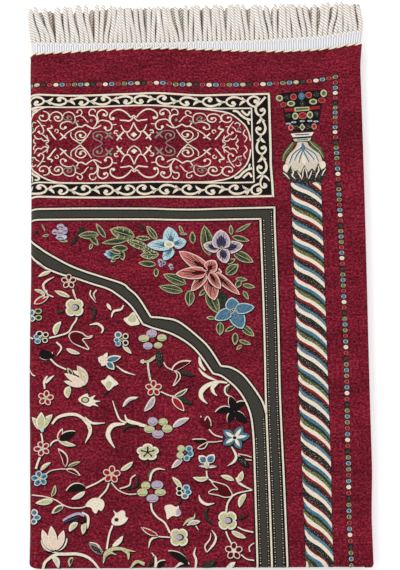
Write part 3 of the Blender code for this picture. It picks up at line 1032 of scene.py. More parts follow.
# How far down the panel's long lines lie at places across: the top one, the one inside it, the middle and the lowest
PANEL_WANDER = (
    (-12, -2.4, -3.1, -1.7, -2.0), (11, -2.4, -3.1, -1.9, -2.7), (27, -0.9, -2.8, -1.2, -2.0),
    (43, 0.1, -1.8, -0.6, -1.5), (51, 0.5, -1.4, -0.3, -1.0), (72, 0.2, -1.4, -0.5, -0.8),
    (81, 0.0, -1.5, -0.5, -0.7), (92, 0.6, -1.8, -0.6, -0.4), (107, 0.4, -1.7, -0.7, -0.2),
    (126, -0.3, -1.8, -0.8, -0.5), (139, -0.2, -1.3, -0.8, -0.8), (150, 1.3, -0.5, -0.3, -0.3),
    (160, 1.8, 0.5, 0.1, 0.1), (178, 2.2, 1.7, 0.9, 0.4), (197, 1.8, 2.0, 1.3, 0.5), (227, 0.7, 1.8, 1.3, 0.4),
    (256, 0.3, 1.5, 0.9, 0.0),
)


def in_panel(points):
    """Points measured from the panel's middle, drawn in the wandering panel."""
    points = np.asarray(points, float)
    across, down = points[:, 0] + PANEL_MIDDLE[0], points[:, 1]
    places, *wander = np.transpose(PANEL_WANDER)
    top, inside, middle, low = (np.interp(across, places, line) for line in wander)
    lower = middle + (low - middle) * smooth((down - LOWER_EASE_START) / LOWER_EASE)
    upper = inside + (middle - inside) * smooth((down - PANEL_INNER_TOP) / UPPER_EASE)
    border = inside + (top - inside) * np.clip((PANEL_INNER_TOP - down) / PANEL_BORDER, 0, 1)
    wander = np.where(down > 0, lower, np.where(down < PANEL_INNER_TOP, border, upper))
    return np.stack([across, down + PANEL_MIDDLE[1] + wander], -1)


def corners_of(points):
    """The four mirror images of a quarter of the panel."""
    points = np.asarray(points, float)
    return [points * (east, south) for east in (1, -1) for south in (1, -1)]


def scroll(fork, turn, hand, length, forked=True):
    """One unit of the running scroll: a stem that curls round a bud, and the fork of two leaves it springs from."""
    stretch = np.array([length / SCROLL_UNIT, 1.0])

    def lay(points):
        return in_panel(spun(np.asarray(points) * stretch * (1, hand), fork, turn))

    loom.stroke("ivory", lay(SCROLL_STEM), SCROLL_WIDTHS, 3)
    loom.disc("ivory", lay([(12.6, -1.4)])[0], (2.2, 1.9), 3)
    loom.stroke("ivory", lay([(19.6, 0.4), (21.6, -0.3), (23.2, 0.0)]), [2.2, 1.6, 1.8], 3)
    if forked:
        loom.petal("ivory", *lay([(-1.4, 0.5), (6.4, -4.6)]), 2.7, 3, bend=0.14 * hand)
        loom.petal("ivory", *lay([(-0.8, 0.0), (3.4, 4.9)]), 2.3, 3, bend=-0.1 * hand)


def panel_stroke(yarn, points, width, level, step=1.5):
    """A stroke through points measured from the panel's middle."""
    loom.stroke(yarn, in_panel(points), width, level, step=step)


def weave_panel():
    """The scrolled border, its cream lines and the dark cartouche with its filigree."""
    right, inner = PANEL_RIGHT, PANEL_INNER_RIGHT
    for along, gap in ((PANEL_TOP, 7.6), (PANEL_LOW, -8.3)):
        panel_stroke("black", [(x, along + gap) for x in PANEL_LINE + [right]], 14.0, 0, 3)
        line = [(x, along) for x in PANEL_LINE + [right + 1]]
        panel_stroke("wine", line, 4.0, 0, 3)
        panel_stroke("ivory", line, 2.0, 3, 3)
    panel_stroke("black", [(right - 9.3, PANEL_TOP), (right - 9.3, 0), (right - 8.5, PANEL_LOW)], 19, 0, 3)
    for south in (1, -1):
        rim = np.vstack([CARTOUCHE[2:], [(inner, 4.8), (inner, 42), (75, 42)]])
        loom.fill("black", in_panel(rim * (1, south)), 1, straight=True)
        rim = np.vstack([spline(LEFT_CORNERS[south]), [(FOLD_START, PANEL_MIDDLE[1] + 41 * south)]])
        loom.fill("black", rim, 1, straight=True)
        panel_stroke("ivory", np.array(CARTOUCHE) * (1, south), 1.5, 4)
        loom.stroke("ivory", LEFT_CORNERS[south], 1.5, 4)
    panel_stroke("black", PANEL_EDGE, 4.6, 0)
    panel_stroke("ivory", PANEL_EDGE, 2.3, 3)
    for along in (PANEL_INNER_TOP, PANEL_INNER_LOW):
        panel_stroke("ivory", [(max(x, -inner), along) for x in PANEL_LINE] + [(inner, along)], 1.6, 3, 3)
    panel_stroke("ivory", [(inner, -42), (inner, 0), (inner + 0.6, 42)], 1.5, 3)
    for side, along, hand, forks in SCROLL_ROWS:
        for number, fork in enumerate(forks):
            scroll((side * fork, along), 90 + 90 * side, side * hand * (-1) ** number, SCROLL_LENGTH)
    for number in range(4):
        fork = (right - SIDE_SCROLL_INSET, SIDE_SCROLL_START + SIDE_SCROLL_PITCH * number)
        scroll(fork, 90, (-1) ** number, SIDE_SCROLL_LENGTH, forked=number > 0)
    lower_forks = [(np.multiply(spine, (1, -1)) + (0, 2 * PANEL_MIDDLE[1]), width) for spine, width in CORNER_FORKS]
    for spine, width in (*CORNER_SCROLLS, *CORNER_FORKS, *lower_forks):
        loom.stroke("ivory", spine, width, 3, step=1.2)
    for place, size in CORNER_BUDS:
        loom.disc("ivory", place, size, 3)
    loom.disc("black", CORNER_PIT, 1.0, 4)
    weave_arabesque()


def ease(points):
    """The filigree's far end is woven longer than its near one, both are woven lower than its middle, and its
    lower half is drawn out."""
    x, y = points[:, 0], points[:, 1]
    stretched = x * (1 + FAR_STRETCH * smooth((x - 45) / 40))
    pressed = y * (1 - FAR_PRESS * smooth((x - 35) / 50)) * np.where(y > 0, ARABESQUE_LOWER, 1.0)
    near_press = np.where(y > 0, *NEAR_PRESS) * smooth((-x - 48) / 30)
    pressed = pressed * (1 - near_press)
    return np.stack([stretched, pressed], -1)


def weave_arabesque():
    """The filigree of the cartouche: one quarter, mirrored both ways."""
    shift = np.subtract(ARABESQUE_MIDDLE, PANEL_MIDDLE)
    for width, spine in ARABESQUE:
        yarn = "ivory" if width > 0 else "ash"
        for quarter in corners_of(spine):
            widths = [abs(width) * 0.75, abs(width), abs(width) * 0.8]
            panel_stroke(yarn, ease(quarter) + shift, widths, 2, 1.2)
    for yarn, place, size in ARABESQUE_BUDS:
        for quarter in corners_of([place]):
            loom.disc(yarn, in_panel(ease(quarter) + shift)[0], size, 3)
    for south in (1, -1):
        loom.fill("ivory", in_panel(DIAMOND + shift + (0, DIAMOND_DOWN * south)), 3, straight=True)


# ---------------------------------------------------------------- the twisted column

COLUMN_TOP = 147.0
SHAFT_MIDDLE = 289.2
SHAFT_LEAN = 1.9
SHAFT_HALF_WIDTH = 15.7
SHAFT_NARROWING = 1.6
SHAFT_SWELL = 0.6
SHAFT_TOP = 168
SHAFT_LENGTH = 389
TWIST_GROWTH = 0.25  # how much steeper the stripes become, from where and over what length
TWIST_START = 170
TWIST_LENGTH = 200
SHAFT_START = 171.3
SHAFT_PERIOD = 44.1
SHAFT_DRAWN_OUT = 0.26  # how much longer each repeat is than half the sum of its neighbours
STRIPES_REPEAT = 40.8  # of the stripes, as they are listed
# How far along a stripe lies from its middle, at shares of the shaft's width
SHAFT_TWIST = [(-1, -9.8), (-0.77, -5.9), (-0.3, -1.9), (0, 0.0), (0.35, 3.3), (0.63, 6.4), (0.86, 9.6), (1, 12.0)]
# Yarn, start and end
SHAFT_STRIPES = (
    ("ivory", 0.0, 3.9), ("blue", 3.9, 7.4), ("moss", 7.4, 10.2), ("olive", 10.2, 13.4), ("ivory", 13.6, 17.9),
    ("red", 18.1, 20.2), ("speckle", 20.2, 24.4), ("steel", 24.6, 27.8), ("ivory", 27.9, 32.3),
    ("speckle", 33.0, 39.3), ("red", 39.4, 40.6),
)


def shaft_edges(along):
    """The shaft's left and right edges, which lean a little to the right as they go down."""
    middle = SHAFT_MIDDLE + SHAFT_LEAN * (along - SHAFT_TOP) / SHAFT_LENGTH
    half = SHAFT_HALF_WIDTH - SHAFT_NARROWING * smooth((along - SHAFT_TOP) / SHAFT_LENGTH)
    swell = SHAFT_SWELL * np.cos((along - SHAFT_START) / SHAFT_PERIOD * 6 * np.pi)
    return middle - half - swell, middle + half


def shaft_place(turns):
    """How far along the stripe at this many turns passes the shaft's middle."""
    return SHAFT_START + SHAFT_PERIOD * turns + SHAFT_DRAWN_OUT * turns**2


def on_shaft(share, along):
    """The place at a share of the shaft's width, from -1 to 1, on the stripe that passes its middle at along."""
    steeper = 1 + TWIST_GROWTH * smooth((along - TWIST_START) / TWIST_LENGTH)
    down = along + np.interp(share, *np.transpose(SHAFT_TWIST)) * steeper
    left, right = shaft_edges(down)
    return np.stack([(left + right) / 2 + share * (right - left) / 2, down], -1)


def ribbon(yarn, upper, lower, level):
    """The band between two lines that have the same number of points."""
    loom.add(yarn, np.vstack([upper, lower]), band_faces(len(upper)), level)


def weave_shaft():
    """Stripes that wind round the shaft, on a dark ground."""
    down = np.linspace(COLUMN_TOP, PATTERN_END, 120)
    left, right = shaft_edges(down)
    ribbon("black", np.stack([left - 0.5, down], -1), np.stack([right + 0.5, down], -1), 0)
    share = np.linspace(-1, 1, 19)
    for turn in range(-2, 10):
        for yarn, start, stop in SHAFT_STRIPES:
            upper, lower = (on_shaft(share, shaft_place(turn + place / STRIPES_REPEAT)) for place in (start, stop))
            inside = (upper[:, 1] > COLUMN_TOP - 1) & (upper[:, 1] < PATTERN_END)
            if inside.sum() > 1:
                ribbon(yarn, upper[inside], lower[inside], 2)


def gem(edge, heart, centre, size, level=3, share=0.6):
    """A rounded figure with a rim of another yarn."""
    loom.disc(edge, centre, size, level)
    loom.disc(heart, centre, np.multiply(size, share), level + 1)


def block(yarn, corners, level=2):
    loom.fill(yarn, corners, level, straight=True)


CAPITAL = [
    (261.6, 50.8), (267.5, 48.6), (315.0, 46.2), (315.2, 54), (309, 61), (307.4, 70), (305.7, 81), (302.5, 90.5),
    (298, 92.8), (277.4, 93.2), (273.5, 90), (269.2, 80.2), (268.6, 70), (266.4, 62),
]
SPECKS = ((272, 54.2), (303.4, 51.2), (288.6, 61.2), (273.2, 75), (303, 73.4), (281, 88), (293.7, 87.6))


def weave_capital():
    """Rows of set stones on a dark ground that narrows as it goes down."""
    block("black", CAPITAL, 1)
    gem("lime", "green", (264.4, 54.8), (3.7, 3.6))
    gem("lime", "green", (311.2, 50.6), (3.5, 4.2))
    gem("blue", "steel", (287.7, 52.9), (3.5, 4.2))
    for place in ((279.2, 53.6), (295.3, 52.0)):
        gem("pink", "red", place, (3.4, 3.6), share=0.8)
    for place, wide in (((268.4, 62.2), 3.2), ((308.8, 58.4), 3.9)):
        gem("pink", "red", place, (wide, 3.0), share=0.86)
    for place in ((276.4, 61.3), (299.8, 59.6)):
        gem("lime", "green", place, (4.2, 3.2), share=0.62)
    block("red", [(269.2, 66.6), (279.8, 66.2), (279.8, 69.9), (269.8, 70.3)])
    block("red", [(295.6, 65.4), (306.8, 64.3), (306.4, 67.9), (295.6, 69.1)])
    block("lime", [(279.9, 65.6), (295.5, 65.2), (295.5, 69.5), (279.9, 70.4)])
    block("green", [(281.2, 66.8), (294.4, 66.4), (294.4, 68.4), (281.2, 69.2)], 3)
    gem("pink", "red", (288.1, 75.2), (4.6, 3.8), share=0.84)
    for place in ((280.4, 75.5), (295.9, 74.4)):
        gem("lime", "green", place, (3.2, 4.0))
    for place in ((272.9, 83.9), (278.6, 82.4), (287.5, 81.3), (295.6, 81.3), (301.9, 82.0)):
        loom.disc("ice", place, (2.7, 0.95), 3)
        loom.disc("blue", place, (1.3, 0.5), 4)
    for place in ((275.4, 88.5), (299.9, 87.6)):
        gem("pink", "red", place, (2.9, 3.5), share=0.55)
    block("lime", [(287.3, 83.8), (290.7, 88.2), (287.3, 92.6), (284.0, 88.2)], 3)
    loom.disc("green", (287.3, 88.2), (1.5, 2.1), 4)
    for place in SPECKS:
        loom.disc("speckle", place, (2.9, 3.0), 2)


BULB = [
    (282.4, 105), (281.2, 107.8), (278.1, 112.8), (274, 116.9), (270.9, 121.5), (269.1, 125.6), (268.6, 131),
    (270, 140), (288, 144), (306.6, 140), (307.6, 131), (307.1, 125.8), (306, 121.7), (304.3, 118.2), (301, 115.6),
    (295.9, 111.4), (293, 108), (291.7, 105),
]
BULB_VEINS = (
    [(287, 106), (285.4, 111), (277, 118), (272.6, 127.9)], [(286.6, 112), (281.2, 118.4), (277.9, 125)],
    [(287.2, 114.5), (284.4, 121), (282.6, 128)], [(287.6, 114.5), (290.6, 121), (293.4, 127.9)],
    [(288, 112), (293.8, 118), (298.8, 124.6)], [(287.6, 106), (289.8, 111), (299.2, 118), (303.2, 126.9)],
)
ACANTHUS = [
    (265.2, 136.6), (269.6, 139), (274.2, 130.9), (276.6, 137.6), (280.6, 135.6), (283.8, 139.5), (288.4, 130.4),
    (291.6, 139), (296.2, 134.0), (298.8, 137.6), (302.8, 128.4), (305.6, 136.2), (311.2, 133.2), (310.4, 141.2),
    (305.8, 148.4), (289, 151.2), (273.8, 149.4), (267, 143.8),
]
ACANTHUS_RIBS = (
    ([(265.8, 138.4), (269.2, 141.6), (272.2, 145.6)], 1.3),
    ([(274.6, 133), (276.6, 138.4), (275.2, 141.6), (278.6, 145.8)], 1.5),
    ([(280.8, 137.6), (283.2, 141.6), (285.4, 146.4)], 1.3), ([(288.3, 133), (286.6, 138), (286.0, 144.6)], 1.2),
    ([(288.6, 133), (290.2, 138), (290.8, 144.6)], 1.2), ([(296.0, 136.6), (294.4, 141), (292.0, 146.0)], 1.3),
    ([(302.6, 131.4), (303.2, 136.4), (301.0, 140.8), (299.4, 144.6)], 1.5),
    ([(310.6, 135), (307.6, 139.2), (306.4, 142.7)], 1.2),
)


def weave_bulb():
    """A veined bulb between two leaves, which hangs from a neck of two bands."""
    block("black", [(274.2, 94.6), (300.0, 93.0), (297.3, 98.8), (297.2, 104.6), (276.4, 104.9), (276.5, 99.8)], 1)
    block("ivory", [(274.9, 95.2), (299.4, 93.8), (296.8, 98.2), (277.2, 99.2)])
    block("blue", [(279.6, 96.0), (294.6, 95.5), (294.2, 96.9), (280.0, 97.4)], 3)
    block("pale", [(277.2, 101.2), (296.6, 100.2), (294.6, 103.6), (279.2, 104.0)])
    block("steel", [(281.2, 101.7), (293.0, 101.2), (292.6, 102.6), (281.6, 102.9)], 3)
    for side, widths in (
        ([(277.8, 105.2), (274.7, 110), (270.6, 115), (267.5, 120.5), (266.6, 126)], (3.5, 5, 5, 4, 3)),
        ([(295.2, 104.4), (299, 109.1), (303.6, 113.6), (306.9, 118.5), (308.9, 123.6)], (4.5, 6.5, 6.5, 4.5, 1.5)),
    ):
        loom.stroke("black", side, np.add(widths, 0.8), 1)
        loom.stroke("green", side, widths, 2)
        loom.stroke("lime", np.subtract(side, 0.5), np.multiply(widths, 0.12), 3)
    loom.fill("black", np.add(BULB, (0.4, 0.3)), 3)
    loom.fill("pale", BULB, 4)
    for place in ((268.9, 133.4), (307.6, 130.7)):
        loom.disc("black", place, (3.4, 4.6), 3)
        loom.disc("ivory", place, (3.0, 4.2), 4.5)
    for spine in BULB_VEINS:
        loom.stroke("ivory", np.subtract(spine, (1.4, 0)), 1.6, 5, step=1.0)
        loom.stroke("steel", spine, [1.3, 1.4, 1.0], 6, step=1.0)
    block("steel", [(286.9, 106.1), (290, 113), (287.5, 115.3), (285, 113)], 6)
    loom.fill("ivory", [(288, 117), (290.6, 125), (288.2, 130), (285.8, 125)], 5)
    weave_acanthus()


def weave_acanthus():
    """Dark pointed leaves with pale ribs, which hold the bulb."""
    block("speckle", ACANTHUS, 7)
    for spine, width in ACANTHUS_RIBS:
        loom.stroke("black", np.add(spine, 0.4), [0.8, width + 0.9, width + 0.9, 0.8], 8, step=1.0)
        loom.stroke("ivory", spine, [0.5, width, width, 0.6], 9, step=1.0)


# ---------------------------------------------------------------- flowers and leaves


LEAF_YARNS = {"l": ("lime", "green"), "L": ("lime", "olive"), "t": ("lime", "green")}


def leaf(base, tip, width, kind, level=2):
    """A leaf in two greens: l has a shaded side, L is speckled and toothed too, t is plain and d is dark."""
    base, tip, along, unit, side = axes(base, tip)
    loom.petal("black", base + (0.3, 0.5), tip + (0.5, 0.9), width + 0.9, level - 1, blunt=0.4)
    if kind == "d":
        loom.petal("moss", base, tip, width, level, blunt=0.3)
        loom.stroke("black", [base + along * 0.1, tip - along * 0.2], 0.5, level + 1)
        return
    edge, body = LEAF_YARNS[kind]
    loom.petal(edge, base, tip, width, level, blunt=0.4)
    loom.petal(body, base + unit * 0.7, tip - unit * 1.3, max(width - 1.35, width * 0.55), level + 0.6, blunt=0.4)
    if kind == "t":
        return
    shaded = side * width * 0.2
    start, stop = base + along * 0.08 + shaded * 0.5, tip - along * 0.2 + shaded * 0.6
    loom.petal("moss", start, stop, (width - 1.4) * 0.5, level + 1.2, bend=-0.06)
    if kind == "L":
        for share, hand in ((0.24, 1), (0.36, -1), (0.48, 1), (0.6, -1), (0.72, 1)):
            rim = base + along * (share + 0.05) + side * hand * width * 0.42
            loom.petal(edge, base + along * share + side * hand * width * 0.14, rim, 1.0, level + 1.8)
    if width > 7:
        loom.stroke(edge, [base + along * 0.06, tip - along * 0.16], 0.5, level + 2.4)


def bloom_petal(base, tip, width, edge, body, streak, level=4.0, shade=0.0):
    """A drawn petal: a rim, a body, a deeper throat and fine dark lines that run out from the heart."""
    base, tip, along, unit, side = axes(base, tip)
    loom.petal("black", base + (0.3, 0.4), tip + unit * 0.8 + (0.4, 0.6), width + 1.2, level - 0.5, blunt=0.9)
    loom.petal(edge, base, tip, width, level, blunt=0.9)
    loom.petal(body, base + unit * 0.6, tip - unit * 1.4, width - 2.0, level + 0.4, blunt=0.9)
    throat, throat_width = base + along * (0.5 + shade * 0.4), width * (0.34 + shade * 0.4)
    loom.petal(streak, base + along * 0.02, throat, throat_width, level + 0.8, blunt=0.2)
    fine = "black" if shade or streak == "wine" else streak
    for lean, reach in ((-0.3, 0.66), (-0.14, 0.84), (0.04, 0.76), (0.2, 0.88), (0.33, 0.62)):
        far = base + along * reach + side * width * lean
        loom.petal(fine, base + (far - base) * 0.25, far, 0.75, level + 1.2)


def bloom(petals, widen, yarns, tiers, shade=0.0):
    """A flower of drawn petals. Neighbours lie on different tiers, so that a dark line parts them."""
    turns = [math.atan2(tip[1] - base[1], tip[0] - base[0]) for base, tip, _ in petals]
    for place, number in enumerate(np.argsort(turns)):
        base, tip, width = petals[number]
        bloom_petal(base, tip, width * widen, *yarns, 5 + 1.8 * (place % tiers), shade)


# The spray's leaves by kind: base, tip and width
SPRAY_LEAVES = {
    "t": [
        ((14.8, 191.7), (18.3, 199.6), 1.6), ((66.5, 213.5), (64, 220), 3.5), ((91.5, 230), (85.5, 233.5), 3.5),
        ((160.5, 203.5), (156.5, 195), 3.5), ((157, 204), (165, 204.5), 2.7), ((210.5, 206), (210, 195), 4.4),
        ((215, 203), (231, 193.5), 3.9), ((213.5, 253), (226, 254.5), 4.6), ((221, 259.5), (233.5, 262.5), 5.0),
        ((221.5, 266), (226.5, 275.5), 4.4), ((192, 295), (183, 294), 4.1), ((216, 318.5), (228, 323), 4.3),
        ((218.5, 323.5), (213, 328.5), 3.5),
    ],
    "l": [
        ((22, 203.5), (15.3, 204.8), 2.9), ((73.5, 204), (52.5, 204.5), 8.7), ((64.5, 205), (73, 215.5), 6.1),
        ((80.5, 207.5), (70.5, 191.5), 5.4), ((104, 209.5), (76.5, 213), 6.5), ((103.5, 219.5), (87, 218), 6.9),
        ((96, 221), (98.5, 232), 6.5), ((133.5, 210), (123, 195), 7.2), ((132.5, 237), (114, 235), 6.5),
        ((132.5, 241), (132, 250.5), 5.2), ((170.5, 215), (170, 201.5), 6.4), ((163, 258), (139.5, 247.5), 10.2),
        ((159.5, 266), (135, 260.5), 8.9), ((167, 264.5), (165.5, 282), 9.9), ((183, 264), (176, 271), 4.3),
        ((184.5, 266), (195.5, 290), 12.3), ((187.5, 228), (182.5, 195), 13.3), ((211, 207.5), (229, 212.5), 6.0),
        ((212, 224.5), (232.5, 235.5), 10.2), ((204.5, 236.5), (214, 232), 5.3), ((204, 248.5), (217, 237.5), 10.2),
        ((219, 255), (213.5, 263), 6.2), ((197, 299), (196.5, 313), 8.2), ((212.5, 303.5), (201.5, 309), 4.6),
        ((218.5, 303), (231.5, 314.5), 7.8), ((212.5, 310.5), (211.5, 323.5), 6.4),
    ],
    "d": [
        ((12, 199.5), (7.5, 199.8), 2.3), ((51.5, 203.5), (58.5, 194), 4.8), ((52, 204.5), (44, 214.5), 3.5),
        ((121.5, 200), (115.5, 193), 3.5), ((200, 266), (198, 284), 9.8),
    ],
    "L": [
        ((110.5, 207), (85, 198.5), 14.3), ((124.5, 219.5), (102, 210.5), 8.7), ((126.5, 209), (111.5, 207.5), 5.2),
        ((135.5, 226), (116, 227), 9.5), ((129, 227), (117, 216), 8.0),
    ],
}
# The spray's flowers by petal: base, tip and width
IRIS = (
    ((149, 216), (123, 216), 11.5), ((150, 215), (164, 212.5), 11.5), ((149, 219), (140, 232.5), 9.8),
    ((149, 215.5), (145.5, 196.5), 14.6),
)
LILY = (
    ((190.5, 246), (218, 270.5), 8.9), ((186.5, 249), (191.5, 276), 14.6), ((185.5, 244), (156, 223), 13.3),
    ((183.5, 247), (168, 266), 9.8), ((184, 246), (152, 247.5), 12.4), ((184.5, 245), (162.5, 234), 8.9),
    ((187, 246.5), (198, 264), 9.8), ((186.5, 243.5), (200, 246), 9.0), ((185.5, 244), (193.5, 233.5), 13.3),
)
VIOLET = (
    ((200, 221), (204.5, 236.5), 12.4), ((198, 220), (181, 216.5), 11.1), ((202, 220.5), (222.5, 217), 12.4),
    ((200, 221.5), (199.5, 200), 17.3),
)
BLUE_BLOOM = (
    ((212.5, 286), (232.5, 283.5), 10.6), ((208.5, 287.5), (191.5, 296.5), 11.1),
    ((211.5, 287.5), (219.5, 306.5), 14.6), ((210.5, 286.5), (209, 273), 13.3),
)
# The lilac bud's lobes: across, along, half its width and half its height
BUD_LOBES = (
    (34.1, 194.6, 4, 3), (28.2, 200.4, 3, 3), (38.8, 198.8, 2.6, 4), (34.1, 206.3, 5, 3), (33.7, 201.3, 4.5, 3.6),
)
# Berries on the spray: place and radius
BERRIES = (
    ((136.6, 233.6), 2.7), ((139.6, 235.2), 2.7), ((137.2, 237.2), 2.3), ((147.2, 238.4), 2.3), ((148.2, 240.9), 2.0),
)


def weave_spray():
    """The branch of garden flowers that fills the corner above the arch."""
    for kind, leaves in SPRAY_LEAVES.items():
        for base, tip, width in leaves:
            leaf(base, tip, width, kind)
    bloom(IRIS, 1.1, ("ice", "ice", "blue"), 2)
    gem("ivory", "lime", (146.0, 215.6), (5.2, 3.6), 10, 0.6)
    bloom(LILY, 1.08, ("blush", "pink", "wine"), 3)
    bloom(VIOLET, 1.1, ("blush", "lilac", "violet"), 2, 0.5)
    bloom(BLUE_BLOOM, 1.1, ("ice", "blue", "steel"), 2)
    for heart in ((200.2, 220.0), (210.8, 286.1)):
        loom.disc("lime", heart, 1.7, 10)
        loom.disc("moss", heart, 0.9, 11)
    loom.disc("wine", (186.2, 244.8), 1.5, 11)
    for place, size in BERRIES:
        loom.disc("lilac", place, size, 4)
        loom.disc("violet", np.add(place, 0.5), size * 0.45, 5)
    for across, along, *size in BUD_LOBES:
        edged_disc("lilac", (across, along), size, 5, (0.4, 0.6), 0.5)
        reach = size[0] * 0.6
        crease = [(across - reach, along + 0.9), (across, along + 0.2), (across + reach, along + 1.1)]
        loom.stroke("violet", crease, 1.0, 6)
    loom.disc("ice", (38, 206), (2.6, 2.2), 6)
    leaf((31.0, 208.4), (41.6, 211.0), 3.6, "L", 3)
    for tip, width in (((78.4, 225.0), 6.4), ((80.4, 221.6), 5.0), ((82.0, 228.6), 5.0)):
        bloom_petal((92.0, 226.0), tip, width, "ice", "ice", "blue", 5)
    leaf((96.0, 224.6), (84.0, 220.6), 4.0, "l", 8)
    leaf((96.0, 226.8), (86.6, 230.6), 4.0, "l", 8)


# ---------------------------------------------------------------- the field of scattered flowers

